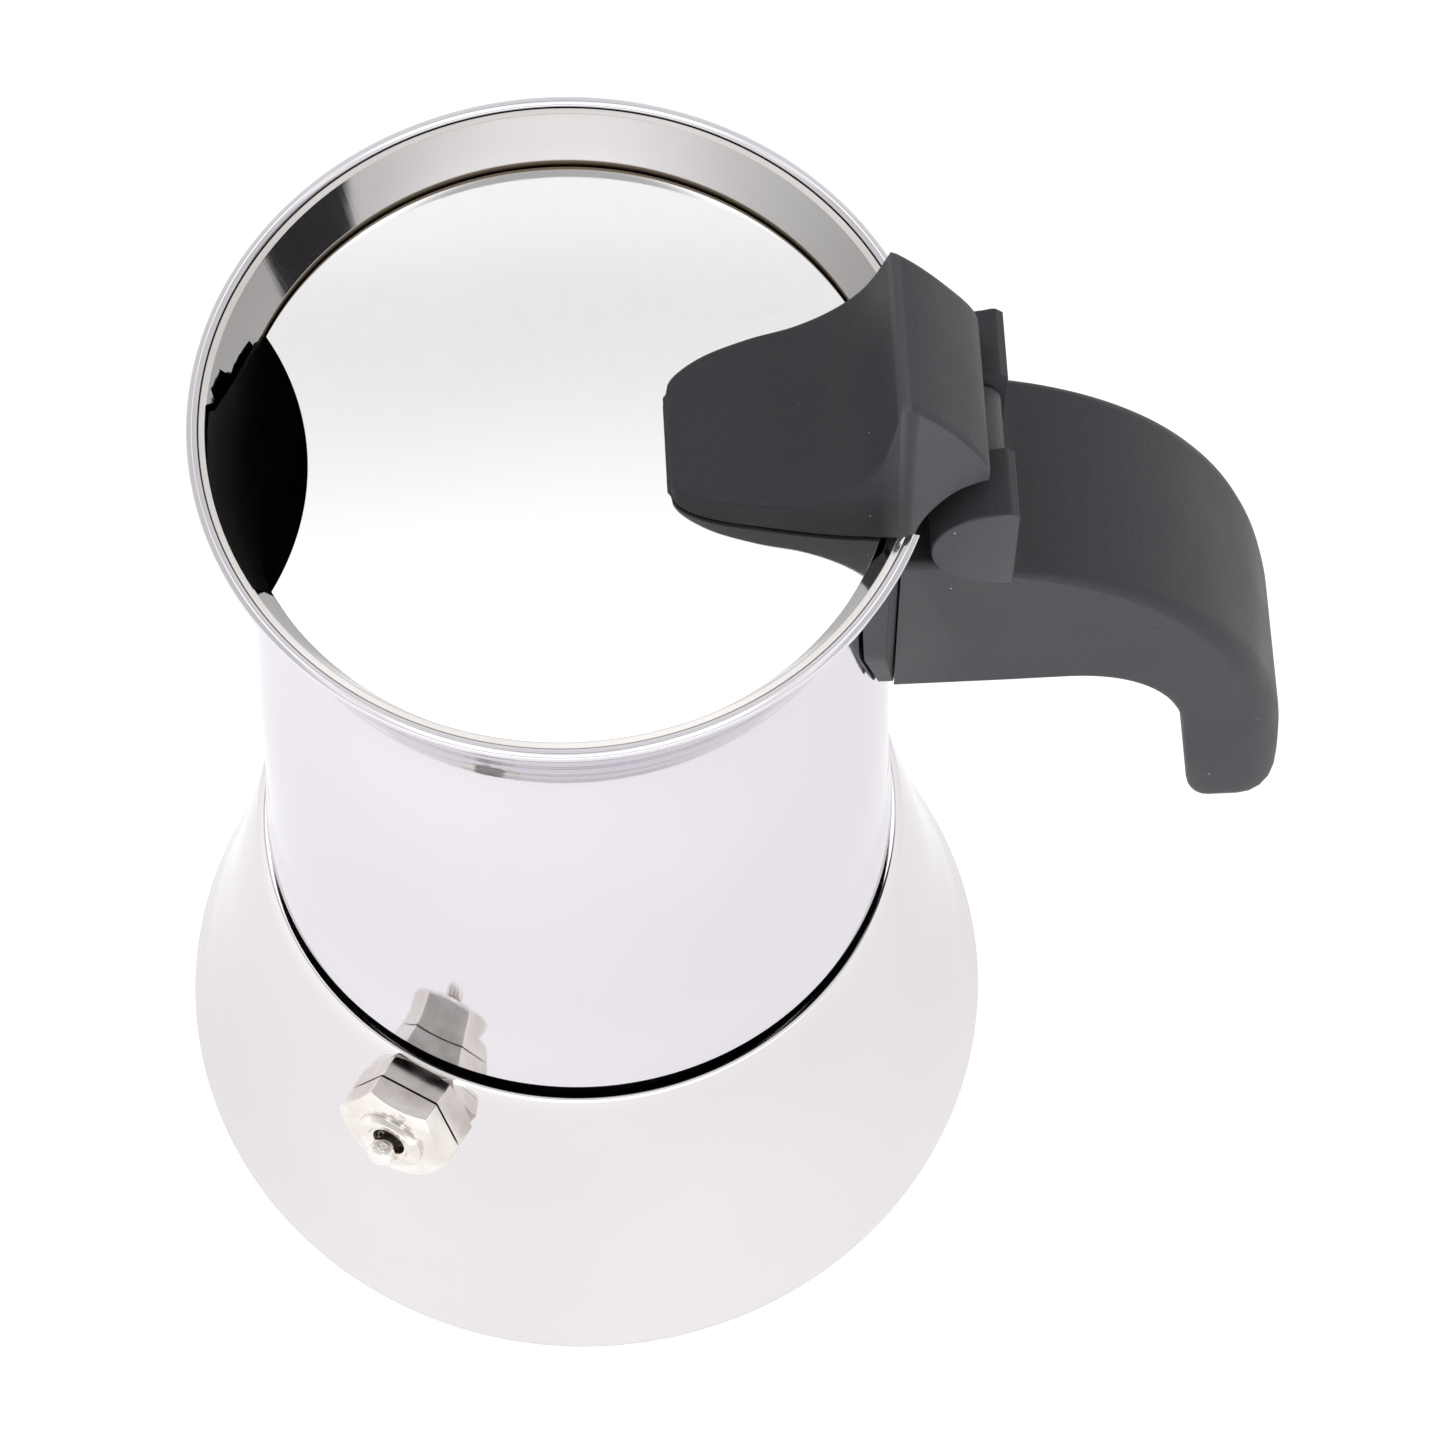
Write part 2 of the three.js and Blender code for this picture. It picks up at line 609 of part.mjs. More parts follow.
add('boiler_shell', boilerShell(), steel);
add('base_disc', baseDisc(), satin);
add('valve_washer', valveWasher(), silicone, valve);
add('valve_collar', valveCollar(), nickel, valve);
add('valve_body', valveBody(), nickel, valve);
add('valve_nut', valveNut(), nickel, valve);
add('valve_seat', valveSeat(), nickel, valve);
add('valve_plunger', valvePlunger(), nickel, valve);
add('valve_spring', valveSpring(), satin, valve);
add('funnel_basket', funnelBasket(), satin);
add('funnel_tube', tube(3.8, 4.6, 6.5, 41.2), satin);
add('funnel_screen', perforated(29.3, 51.2, 51.8, 2, 10.5, 1.5), satin);
add('gasket', tube(GASKET_IN, GASKET_OUT, GASKET_Z, GASKET_Z + GASKET_THICK, ROUND), silicone);
add('filter_plate', filterPlate(), satin);
add('collector_shell', collectorShell(), steel);
add('threaded_ring', threadedRing(), satin);
add('collector_floor', collectorFloor(), satin);
add('column', column(), satin);
add('column_cap', columnCap(), satin);
add('rim_band', rimBand(), steel);
add('handle_bracket', handleBracket(), satin);
add('handle_saddle', handleSaddle(), black);
add('handle', handle(), black);
add('handle_screw', handleScrew(), satin);
add('handle_nut', handleNut(), satin);
add('hinge_pin', hingePin(), satin);
add('lid', lid(), steel);
add('lid_knob', lidKnob(), black);
add('knob_screw_front', knobScrew(KNOB_SCREWS[0]), satin);
add('knob_screw_rear', knobScrew(KNOB_SCREWS[1]), satin);

export default part;
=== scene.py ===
"""Looks of a stovetop moka pot: polished steel, nickel safety valve and black nylon grips.

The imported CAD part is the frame. Each faceted node is replaced by a smooth piece of the same shape
and size, every piece has a procedural material, and the pot stands in a plain white studio.
Outlines are in millimetres, in the frame's axes: +Z up, the handle along +X, the spout along -X.
"""
import json
import math

import bmesh
import bpy
from mathutils import Matrix, Vector


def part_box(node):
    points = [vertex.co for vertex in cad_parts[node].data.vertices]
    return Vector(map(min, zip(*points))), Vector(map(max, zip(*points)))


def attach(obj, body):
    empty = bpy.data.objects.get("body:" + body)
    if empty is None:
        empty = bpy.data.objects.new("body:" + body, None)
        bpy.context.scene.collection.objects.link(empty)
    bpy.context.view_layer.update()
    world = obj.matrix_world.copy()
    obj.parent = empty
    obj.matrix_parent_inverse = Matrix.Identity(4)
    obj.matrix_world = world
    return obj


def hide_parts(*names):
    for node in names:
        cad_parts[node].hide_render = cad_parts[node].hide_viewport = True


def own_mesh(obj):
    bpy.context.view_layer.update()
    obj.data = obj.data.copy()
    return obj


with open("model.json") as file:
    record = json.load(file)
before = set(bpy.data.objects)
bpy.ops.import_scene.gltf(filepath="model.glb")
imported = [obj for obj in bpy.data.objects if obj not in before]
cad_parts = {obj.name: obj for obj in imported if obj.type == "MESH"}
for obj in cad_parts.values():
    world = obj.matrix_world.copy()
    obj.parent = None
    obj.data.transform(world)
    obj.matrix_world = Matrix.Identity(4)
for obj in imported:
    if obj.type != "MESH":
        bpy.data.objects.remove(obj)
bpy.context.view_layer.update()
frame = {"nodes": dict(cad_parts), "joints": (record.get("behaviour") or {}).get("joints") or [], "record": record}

MM = 0.001
ROUND = 160                 # segments round a large part
SMALL_ROUND = 48            # segments round a small part
ARC_STEPS = 5               # points on a rounded corner of an outline
CREASE_DEGREES = 32         # edges sharper than this are shaded as creases
BEVEL_DEGREES = 50          # edges sharper than this are bevelled, where a piece asks for it
REACH = 0.3                 # how far a cutting tool stands past what it cuts

BODY_OF = {
    node: body for body, nodes in frame["record"]["behaviour"]["bodies"].items() for node in nodes
}
JOINT = {joint["name"]: joint for joint in frame["joints"]}


def low(node, axis):
    """The lowest coordinate of a CAD node along axis 0, 1 or 2, in millimetres."""
    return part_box(node)[0][axis] / MM


def high(node, axis):
    """The highest coordinate of a CAD node along axis 0, 1 or 2, in millimetres."""
    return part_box(node)[1][axis] / MM


# ---- driving dimensions, read from the frame ------------------------------------------------

BOILER_R = high("boiler_shell", 0)
BOILER_BOTTOM = low("boiler_shell", 2)
NECK_TOP = high("boiler_shell", 2)
BASKET_R = high("funnel_basket", 0)
BASKET_TOP = high("funnel_basket", 2)
GASKET_R = high("gasket", 0)
GASKET_BOTTOM = low("gasket", 2)
GASKET_TOP = high("gasket", 2)
COLLECTOR_BOTTOM = low("collector_shell", 2)
RIM_TOP = high("collector_shell", 2)
RIM_R = -low("collector_shell", 0)
BAND_TOP = high("rim_band", 2)
RING_R = high("threaded_ring", 0)
RING_TOP = high("threaded_ring", 2)
FLOOR_BOTTOM = low("collector_floor", 2)
COLUMN_BOTTOM = low("column", 2)
COLUMN_TOP = high("column", 2)
LID_R = high("lid", 1)
LID_BOTTOM = low("lid", 2)
LID_TOP = high("lid", 2)
HANDLE_BACK = high("handle", 0)
HANDLE_FOOT = low("handle", 2)
EAR_TOP = high("handle", 2)
EAR_OUTER = high("handle", 1)
KNOB_TIP = low("lid_knob", 0)
KNOB_FOOT = LID_TOP + 0.3
KNOB_TOP = high("lid_knob", 2)
HINGE_X = JOINT["lid_hinge"]["pos_m"][0] / MM
HINGE_Z = JOINT["lid_hinge"]["pos_m"][2] / MM
HANDLE_SCREW_X = (low("handle_screw", 0) + high("handle_screw", 0)) / 2
KNOB_SCREWS = {
    node: (low(node, 0) + high(node, 0)) / 2 for node in ("knob_screw_front", "knob_screw_rear")
}

# ---- driving dimensions that the frame's boxes don't give ------------------------------------

SHEET = 0.9                 # steel sheet thickness
NECK_R = 33.0               # root of the boiler's thread
NECK_BORE = 31.2
SHOULDER_Z = 58.2
WAIST = (36.1, 138.0)       # narrowest radius of the collector and its height
LIP_R = 37.2                # inner radius of the rim band's lower edge
BAND_KEEP_R = 39.7          # the band stays whole outside this radius
NOTCH_HALF = 16.5           # half-width of the rim's opening at the hinge
NOTCH_Z = 146.0
THREAD_PITCH = 3.0
THREAD_DEPTH = 1.2
THREAD_TURNS = 1.9
THREAD_START = 62.8
RING_THREAD_R = 34.6
SCOOP_R = 32.3              # radius of the bite in the lid over the spout
SCOOP_X = -28.7             # where the bite reaches on the centre line
KNOB_BACK = 46.6            # back of the knob's upright part
BARREL_R = 3.6              # the knob's own hinge barrel
EAR_R = 8.2                 # round front of each hinge ear
EAR_CENTRE = (48.4, 148.4)
EAR_INNER = 4.7
EAR_BACK = 49.8
TONGUE_HALF = 4.3
KNOB_CLEAR_R = 7.3          # hollow in the knob around each ear
KNOB_SCREW_WAY_R = 1.8      # holes for the knob's screws, in the lid and the knob
PIN_BORE_R = 1.9
PIN_BORE_HALF = 11.3        # half the length of the pin's bore through the ears
HANDLE_HALF = 12.8          # half the handle's width
HANDLE_UNDER = 114.0        # underside of the handle's straight front
HANDLE_FRONT_R = 39.2       # the hollow front bears on the saddle at this radius
HANDLE_SPAN = (100, 160)    # heights between which tools reach past the handle
POCKET_SPAN = (117.7, 145.3)    # heights of the pocket for the steel bracket
NUT_FLOOR = 128.0           # floor of the nut's recess in the handle
NUT_RECESS_R = 4.6
VALVE_FOOT = (-21.664, -35.630, 51.2)   # where the valve's axis leaves the cone
HEX_FLATS = 13.4            # the valve's hexagons, across flats
HEX_TURN = 0.47             # the turn of the hexagons about the valve's axis, in radians
HEX_CHAMFER_DEGREES = 30
SHANK_R = 4.6
CHAMBER_R = 3.0

# The camera, matched to the photograph.
CAMERA_PLACE = (-1.174, -320.745, 741.1)
CAMERA_LENS = 149.5
CAMERA_SENSOR = 36.0
CAMERA_PITCH = 64.06        # degrees downwards
CAMERA_YAW = 3.4            # degrees towards the handle
CAMERA_ROLL = 0.47          # degrees

# The valve's own frame: Z runs out of the boiler, from the outer face of the cone.
VALVE_OUT = Vector(JOINT["valve_lift"]["axis"])
VALVE = Matrix.Translation(Vector(VALVE_FOOT) * MM) @ (
    Vector((0, 0, 1)).rotation_difference(VALVE_OUT).to_matrix().to_4x4())

# The hinge's own frame: Z runs along +Y through the ears.
HINGE = Matrix.Translation(Vector((HINGE_X, 0, HINGE_Z)) * MM) @ Matrix.Rotation(
    -math.pi / 2, 4, "X")


# ---- outlines -------------------------------------------------------------------------------

def corner_arc(before, corner, after, radius):
    """The points that round off one corner of an outline."""
    back = before - corner
    onward = after - corner
    half = back.angle(onward) / 2
    if radius <= 0 or half > 0.49 * math.pi:
        return [corner]
    run = min(radius / math.tan(half), 0.45 * back.length, 0.45 * onward.length)
    centre = corner + (back.normalized() + onward.normalized()).normalized() * run / math.cos(half)
    start = corner + back.normalized() * run - centre
    end = corner + onward.normalized() * run - centre
    turns = [start.slerp(end, i / ARC_STEPS) for i in range(ARC_STEPS + 1)]
    return [centre + turn.normalized() * start.length for turn in turns]


def rounded(outline, closes=True):
    """Points of an outline of (x, y) or (x, y, corner radius)."""
    corners = [Vector(point[:2]) for point in outline]
    radii = [point[2] if len(point) == 3 else 0 for point in outline]
    count = len(corners)
    points = []
    for i, corner in enumerate(corners):
        at_end = i in (0, count - 1)
        radius = 0 if at_end and not closes else radii[i]
        points += corner_arc(corners[i - 1], corner, corners[(i + 1) % count], radius)
    return points


def curve(points, steps=6):
    """A smooth curve through (x, y) points, as more points."""
    knots = [Vector(point) for point in points]
    ends = [2 * knots[0] - knots[1], *knots, 2 * knots[-1] - knots[-2]]
    made = []
    for before, start, end, after in zip(ends, ends[1:], ends[2:], ends[3:]):
        for i in range(steps):
            t = i / steps
            a = 2 * start
            b = (end - before) * t
            c = (2 * before - 5 * start + 4 * end - after) * t ** 2
            d = (3 * start - before - 3 * end + after) * t ** 3
            made.append(tuple((a + b + c + d) / 2))
    return made + [tuple(knots[-1])]


def bezier(start, pull_a, pull_b, end, steps):
    """Points on a cubic curve."""
    made = []
    for i in range(steps + 1):
        t = i / steps
        s = 1 - t
        made.append(
            Vector(start) * s ** 3 + Vector(pull_a) * 3 * s * s * t
            + Vector(pull_b) * 3 * s * t * t + Vector(end) * t ** 3
        )
    return made


def along(points, count):
    """A polyline resampled to count points at equal distances."""
    runs = [(b - a).length for a, b in zip(points, points[1:])]
    total = sum(runs)
    made = []
    for i in range(count):
        left = total * i / (count - 1)
        k = 0
        while k < len(runs) - 1 and left > runs[k]:
            left -= runs[k]
            k += 1
        made.append(points[k].lerp(points[k + 1], min(1, left / runs[k])))
    return made


# ---- meshes ---------------------------------------------------------------------------------

def to_object(name, bm, place=None):
    """A Blender object in metres from a bmesh in millimetres."""
    bmesh.ops.remove_doubles(bm, verts=bm.verts, dist=1e-5)
    bmesh.ops.recalc_face_normals(bm, faces=bm.faces)
    bmesh.ops.scale(bm, vec=(MM, MM, MM), verts=bm.verts)
    if place is not None:
        bmesh.ops.transform(bm, matrix=place, verts=bm.verts)
    mesh = bpy.data.meshes.new(name)
    bm.to_mesh(mesh)
    bm.free()
    obj = bpy.data.objects.new(name, mesh)
    bpy.context.scene.collection.objects.link(obj)
    return obj


def skin(bm, rings, cap=True):
    """Faces between rings of equally many vertices, and a face on each end."""
    count = len(rings[0])
    for lower, upper in zip(rings, rings[1:]):
        for i in range(count):
            j = (i + 1) % count
            bm.faces.new((lower[i], lower[j], upper[j], upper[i]))
    if cap:
        bm.faces.new(rings[0][::-1])
        bm.faces.new(rings[-1])


def loft(name, rings, place=None, cap=True):
    """A closed body through rings of 3-D points."""
    bm = bmesh.new()
    skin(bm, [[bm.verts.new(point) for point in ring] for ring in rings], cap)
    return to_object(name, bm, place)


def lathe(name, outline, segments=ROUND, place=None):
    """A body of revolution about Z from (radius, height) points that end on the axis or close."""
    on_axis = outline[0][0] == 0 and outline[-1][0] == 0
    points = rounded(outline, closes=not on_axis)
    bm = bmesh.new()
    turned = []
    for i in range(segments):
        angle = 2 * math.pi * i / segments
        turned.append([
            bm.verts.new((r * math.cos(angle), r * math.sin(angle), z)) for r, z in points
        ])
    count = len(points)
    for here, there in zip(turned, turned[1:] + turned[:1]):
        for i in range(count - 1 if on_axis else count):
            j = (i + 1) % count
            bm.faces.new((here[i], there[i], there[j], here[j]))
    bmesh.ops.remove_doubles(bm, verts=bm.verts, dist=1e-5)
    bmesh.ops.dissolve_degenerate(bm, edges=bm.edges, dist=1e-6)
    return to_object(name, bm, place)


def prism(name, outline, depth, axes, start, edge=0.0, place=None):
    """Extrude an outline of (a, b) points from start by depth. axes is "xzy" for a profile in X
    and Z that runs along Y. edge rounds the rims of both ends."""
    order = [axes.index(letter) for letter in "xyz"]
    points = rounded(outline)
    bm = bmesh.new()
    rings = []
    for offset in (start, start + depth):
        ring = [(point.x, point.y, offset) for point in points]
        rings.append([bm.verts.new([p[k] for k in order]) for p in ring])
    skin(bm, rings)
    if edge:
        rims = [e for e in bm.edges if any(len(f.verts) == len(points) for f in e.link_faces)]
        bmesh.ops.bevel(
            bm, geom=rims, offset=edge, segments=3, profile=0.5, affect="EDGES",
            clamp_overlap=True,
        )
    return to_object(name, bm, place)


def block(name, x, y, z):
    """A box from three (low, high) pairs."""
    outline = [(x[0], y[0]), (x[1], y[0]), (x[1], y[1]), (x[0], y[1])]
    return prism(name, outline, z[1] - z[0], "xyz", z[0])


def rod(name, radius, start, end, segments=SMALL_ROUND, place=None):
    """A plain round bar about Z."""
    return lathe(name, [(0, start), (radius, start), (radius, end), (0, end)], segments, place)


def cross_rod(name, radius, y0, y1, segments=96):
    """A round bar along Y on the hinge's axis."""
    return rod(name, radius, y0, y1, segments, HINGE)


def upright(x):
    """The place of a piece that stands on its own vertical axis."""
    return Matrix.Translation(Vector((x, 0, 0)) * MM)


def apply_modifiers(obj):
    graph = bpy.context.evaluated_depsgraph_get()
    mesh = bpy.data.meshes.new_from_object(obj.evaluated_get(graph))
    old = obj.data
    obj.modifiers.clear()
    obj.data = mesh
    bpy.data.meshes.remove(old)


def combine(base, other, operation):
    """Join, cut or intersect base with other, which is used up."""
    boolean = base.modifiers.new("combine", "BOOLEAN")
    boolean.operation = operation
    boolean.solver = "MANIFOLD"
    boolean.object = other
    apply_modifiers(base)
    bpy.data.objects.remove(other)
    return base


def cut(base, *tools):
    for tool in tools:
        combine(base, tool, "DIFFERENCE")
    return base


def join(base, *others):
    for other in others:
        combine(base, other, "UNION")
    return base


def bevelled(obj, width):
    """Break the sharp edges of a finished shape."""
    bevel = obj.modifiers.new("bevel", "BEVEL")
    bevel.width = width * MM
    bevel.segments = 2
    bevel.limit_method = "ANGLE"
    bevel.angle_limit = math.radians(BEVEL_DEGREES)
    bevel.use_clamp_overlap = True
    apply_modifiers(obj)
    return obj


def ridge(name, wall, depth, start):
    """One helical thread ridge on a wall; depth is negative for an internal thread."""
    steps = int(THREAD_TURNS * ROUND * 0.6)
    root = wall - math.copysign(0.3, depth)
    rings = []
    for i in range(steps + 1):
        t = i / steps
        angle = t * THREAD_TURNS * 2 * math.pi
        rise = min(1, (min(t, 1 - t) + 0.02) / (0.08 * THREAD_TURNS))
        crest = wall + depth * rise
        z = start + THREAD_PITCH * angle / (2 * math.pi)
        section = ((root, -0.75), (wall, -0.62), (crest, -0.25), (crest, 0.25), (wall, 0.62),
                   (root, 0.75))
        rings.append([(r * math.cos(angle), r * math.sin(angle), z + dz) for r, dz in section])
    return loft(name, rings)


def hexagon(name, flats, start, end, front=True, back=True):
    """A hexagon nut in the valve's frame, with the turned chamfer of a real one at either end."""
    corner = flats / math.sqrt(3)
    angles = [HEX_TURN + i * math.pi / 3 for i in range(6)]
    outline = [(corner * math.cos(a), corner * math.sin(a), 0.25) for a in angles]
    hexed = prism(name, outline, end - start, "xyz", start, place=VALVE)
    wide = corner + 1
    land = flats / 2 - 0.15
    drop = (wide - land) * math.tan(math.radians(HEX_CHAMFER_DEGREES))
    foot = [(land, start), (wide, start + drop)] if back else [(wide, start)]
    head = [(wide, end - drop), (land, end)] if front else [(wide, end)]
    envelope = lathe("envelope", [(0, start), *foot, *head, (0, end)], 96, VALVE)
    return combine(hexed, envelope, "INTERSECT")


# ---- materials ------------------------------------------------------------------------------

class Material:
    """A procedural material: a Principled shader with nodes feeding its sockets."""

    def __init__(self, name, **uniform):
        self.made = bpy.data.materials.new(name)
        self.made.use_nodes = True
        self.tree = self.made.node_tree
        self.shader = self.tree.nodes["Principled BSDF"]
        self.position = self.node("ShaderNodeTexCoord").outputs["Object"]
        self.height = None
        for socket, value in uniform.items():
            self.shader.inputs[socket.replace("_", " ")].default_value = value

    def node(self, kind, **inputs):
        made = self.tree.nodes.new(kind)
        for socket, value in inputs.items():
            self.feed(made.inputs[socket], value)
        return made

    def feed(self, socket, value):
        if isinstance(value, bpy.types.NodeSocket):
            self.tree.links.new(value, socket)
        else:
            socket.default_value = value

    def math(self, operation, *values):
        made = self.tree.nodes.new("ShaderNodeMath")
        made.operation = operation
        for socket, value in zip(made.inputs, values):
            self.feed(socket, value)
        return made.outputs[0]

    def around(self, axis_scale, turn_scale, radius_scale):
        """Cylindrical coordinates about Z: turn, height and distance, each scaled."""
        parts = self.node("ShaderNodeSeparateXYZ", Vector=self.position)
        x, y, z = parts.outputs
        turn = self.math("MULTIPLY", self.math("ARCTAN2", y, x), turn_scale)
        rise = self.math("MULTIPLY", z, axis_scale)
        square = self.math("ADD", self.math("MULTIPLY", x, x), self.math("MULTIPLY", y, y))
        out = self.math("MULTIPLY", self.math("SQRT", square), radius_scale)
        return self.node("ShaderNodeCombineXYZ", X=turn, Y=rise, Z=out).outputs[0]

    def noise(self, vector, scale, detail=3.0, roughness=0.5):
        made = self.node(
            "ShaderNodeTexNoise", Vector=vector, Scale=scale, Detail=detail, Roughness=roughness)
        return made.outputs["Fac"]

    def mixed(self, factor, first, second):
        """The first colour, or the second where factor is 1."""
        made = self.node("ShaderNodeMix")
        made.data_type = "RGBA"
        self.feed(made.inputs["Factor"], factor)
        self.feed(made.inputs["A"], first)
        self.feed(made.inputs["B"], second)
        return made.outputs["Result"]

    def faces_axis(self):
        """1 on faces below the rim that are turned towards the Z axis, 0 elsewhere."""
        normal = self.node("ShaderNodeNewGeometry").outputs["Normal"]
        n = self.node("ShaderNodeSeparateXYZ", Vector=normal).outputs
        p = self.node("ShaderNodeSeparateXYZ", Vector=self.position).outputs
        outward = self.math(
            "ADD", self.math("MULTIPLY", n[0], p[0]), self.math("MULTIPLY", n[1], p[1]))
        below = self.math("LESS_THAN", p[2], (RIM_TOP - 4) * MM)
        return self.math("MULTIPLY", self.math("LESS_THAN", outward, -0.005), below)

    def ramp(self, factor, *stops):
        """A colour or grey for each (position, value) stop."""
        made = self.node("ShaderNodeValToRGB", Fac=factor)
        elements = made.color_ramp.elements
        while len(elements) < len(stops):
            elements.new(0.5)
        for element, (position, value) in zip(elements, stops):
            element.position = position
            grey = isinstance(value, (int, float))
            element.color = (value, value, value, 1) if grey else (*value, 1)
        return made.outputs["Color"]

    def bump(self, height, strength, distance):
        """Adds one layer of relief; distance is in millimetres."""
        made = self.node("ShaderNodeBump", Height=height, Strength=strength)
        made.inputs["Distance"].default_value = distance * MM
        if self.height is not None:
            self.feed(made.inputs["Normal"], self.height)
        self.height = made.outputs["Normal"]
        self.feed(self.shader.inputs["Normal"], self.height)


def polished(name, dark, light, rough=(0.035, 0.075), wave=0.05, satin_and_shaded_inside=False):
    """Mirror-polished sheet: faint tint drift, polishing haze, long waves and hairline swirls.
    The face turned to the pot's axis can stay satin, as a drawn and unpolished inside does; its dark colour there
    is painted shade inside the pot."""
    m = Material(name, Metallic=1.0, Specular_Tint=(0.86, 0.85, 0.87, 1))
    drift = m.noise(m.position, 14, 2)
    colour = m.ramp(drift, (0.35, dark), (0.65, light))
    haze = m.noise(m.around(60, 3, 60), 6, 5, 0.6)
    shine = m.ramp(haze, (0.3, rough[0]), (0.75, rough[1]))
    if satin_and_shaded_inside:
        inward = m.faces_axis()
        # painted shade: faces turned to the axis, inside the pot, get a dark steel colour; the added roughness is
        # the real satin finish
        colour = m.mixed(inward, colour, (0.24, 0.235, 0.23, 1))
        shine = m.math("ADD", shine, m.math("MULTIPLY", inward, 0.3))
    m.feed(m.shader.inputs["Base Color"], colour)
    m.feed(m.shader.inputs["Roughness"], shine)
    m.bump(m.noise(m.position, 22, 1), wave, 1.0)
    m.bump(m.noise(m.around(9000, 4, 9000), 1, 2), 0.012, 0.05)
    return m.made


def brushed(name, dark, light, rough=(0.22, 0.38)):
    """Satin steel turned on a lathe: fine lines round the axis."""
    m = Material(name, Metallic=1.0)
    lines = m.noise(m.around(5200, 1.5, 5200), 1, 4, 0.65)
    m.feed(m.shader.inputs["Base Color"], m.ramp(lines, (0.3, dark), (0.7, light)))
    m.feed(m.shader.inputs["Roughness"], m.ramp(lines, (0.3, rough[0]), (0.7, rough[1])))
    m.bump(lines, 0.25, 0.04)
    return m.made


def plated(name, dark, light, rough=(0.10, 0.24)):
    """Bright nickel on turned brass: warm, with tool marks and a soft, uneven shine."""
    m = Material(name, Metallic=1.0)
    drift = m.noise(m.position, 260, 3)
    m.feed(m.shader.inputs["Base Color"], m.ramp(drift, (0.3, dark), (0.7, light)))
    m.feed(m.shader.inputs["Roughness"], m.ramp(drift, (0.3, rough[0]), (0.75, rough[1])))
    m.bump(m.noise(m.position, 900, 4), 0.12, 0.06)
    return m.made


def moulded(name, dark, light, rough=(0.46, 0.62)):
    """Black nylon: fine spark texture, mottled shine, paler worn edges, a few specks of dust."""
    m = Material(name, Specular_IOR_Level=0.3)
    cloud = m.noise(m.position, 60, 4)
    body = m.ramp(cloud, (0.3, dark), (0.7, light))
    edges = m.node("ShaderNodeNewGeometry").outputs["Pointiness"]
    worn = m.ramp(edges, (0.52, 0.0), (0.60, 0.7))
    pale = m.mixed(worn, body, (0.075, 0.074, 0.082, 1))
    cells = m.node("ShaderNodeTexVoronoi", Vector=m.position, Scale=420.0)
    near = m.math("LESS_THAN", cells.outputs["Distance"], 0.055)
    chance = m.node("ShaderNodeSeparateXYZ", Vector=cells.outputs["Color"]).outputs[0]
    rare = m.math("GREATER_THAN", chance, 0.93)
    dusty = m.mixed(m.math("MULTIPLY", near, rare), pale, (0.40, 0.40, 0.41, 1))
    grain = m.noise(m.position, 1500, 2, 0.5)
    grained = m.mixed(m.math("MULTIPLY", grain, 0.12), dusty, (0.12, 0.118, 0.128, 1))
    m.feed(m.shader.inputs["Base Color"], grained)
    m.feed(m.shader.inputs["Roughness"], m.ramp(cloud, (0.3, rough[0]), (0.7, rough[1])))
    m.bump(grain, 0.35, 0.12)
    m.bump(m.noise(m.position, 3200, 2, 0.6), 0.25, 0.06)
    return m.made


def rubbery(name, dark, light):
    """Translucent silicone: milky, slightly mottled, satin."""
    m = Material(name, Subsurface_Weight=0.25, Subsurface_Scale=0.002)
    cloud = m.noise(m.position, 120, 4)
    m.feed(m.shader.inputs["Base Color"], m.ramp(cloud, (0.3, dark), (0.7, light)))
    m.feed(m.shader.inputs["Roughness"], m.ramp(cloud, (0.3, 0.45), (0.7, 0.6)))
    m.bump(m.noise(m.position, 1500, 3), 0.15, 0.05)
    return m.made


def trimmed_band(name, dark, light):
    """The rim band: polished steel with streaks across it and a dull, brown cut edge below."""
    m = Material(name, Metallic=1.0)
    streaks = m.noise(m.around(20, 190, 20), 1, 4, 0.7)
    steel = m.ramp(m.noise(m.position, 30, 2), (0.35, dark), (0.65, light))
    height = m.node("ShaderNodeSeparateXYZ", Vector=m.position).outputs[2]
    edge_top = (low("rim_band", 2) + 1.2) * MM
    cut_edge = m.math("LESS_THAN", height, edge_top)
    colour = m.mixed(cut_edge, steel, (0.20, 0.155, 0.10, 1))
    m.feed(m.shader.inputs["Base Color"], colour)
    shine = m.ramp(streaks, (0.35, 0.03), (0.75, 0.11))
    dull = m.math("MULTIPLY", cut_edge, 0.35)
    m.feed(m.shader.inputs["Roughness"], m.math("ADD", shine, dull))
    m.bump(streaks, 0.03, 0.06)
    return m.made


STEEL_DARK = (0.725, 0.705, 0.74)
STEEL_LIGHT = (0.775, 0.755, 0.785)
mirror_body = polished("mirror_body", STEEL_DARK, STEEL_LIGHT, satin_and_shaded_inside=True)
mirror_cone = polished("mirror_cone", (0.715, 0.692, 0.70), (0.765, 0.745, 0.752))
mirror_lid = polished("mirror_lid", (0.79, 0.79, 0.795), (0.82, 0.82, 0.825), wave=0.03)
band_steel = trimmed_band("band_steel", (0.55, 0.535, 0.515), (0.63, 0.615, 0.60))
satin_steel = brushed("satin_steel", (0.52, 0.51, 0.50), (0.66, 0.65, 0.64))
nickel = plated("nickel", (0.70, 0.655, 0.60), (0.86, 0.83, 0.79))
nylon = moulded("nylon", (0.026, 0.0253, 0.0308), (0.036, 0.0351, 0.0415))
silicone = rubbery("silicone", (0.70, 0.68, 0.63), (0.82, 0.80, 0.76))


def settle(obj, node, material, bevel=0.0):
    """Finish a piece that stands for one CAD node: shading, material and body; the CAD node is hidden."""
    obj.name = node + "_fine"
    if bevel:
        bevelled(obj, bevel)
    obj.data.shade_smooth()
    obj.data.set_sharp_from_angle(angle=math.radians(CREASE_DEGREES))
    weighted = obj.modifiers.new("weighted_normals", "WEIGHTED_NORMAL")
    weighted.keep_sharp = True
    obj.data.materials.clear()
    obj.data.materials.append(material)
    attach(obj, BODY_OF[node])
    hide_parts(node)
    return obj


# ---- boiler ---------------------------------------------------------------------------------

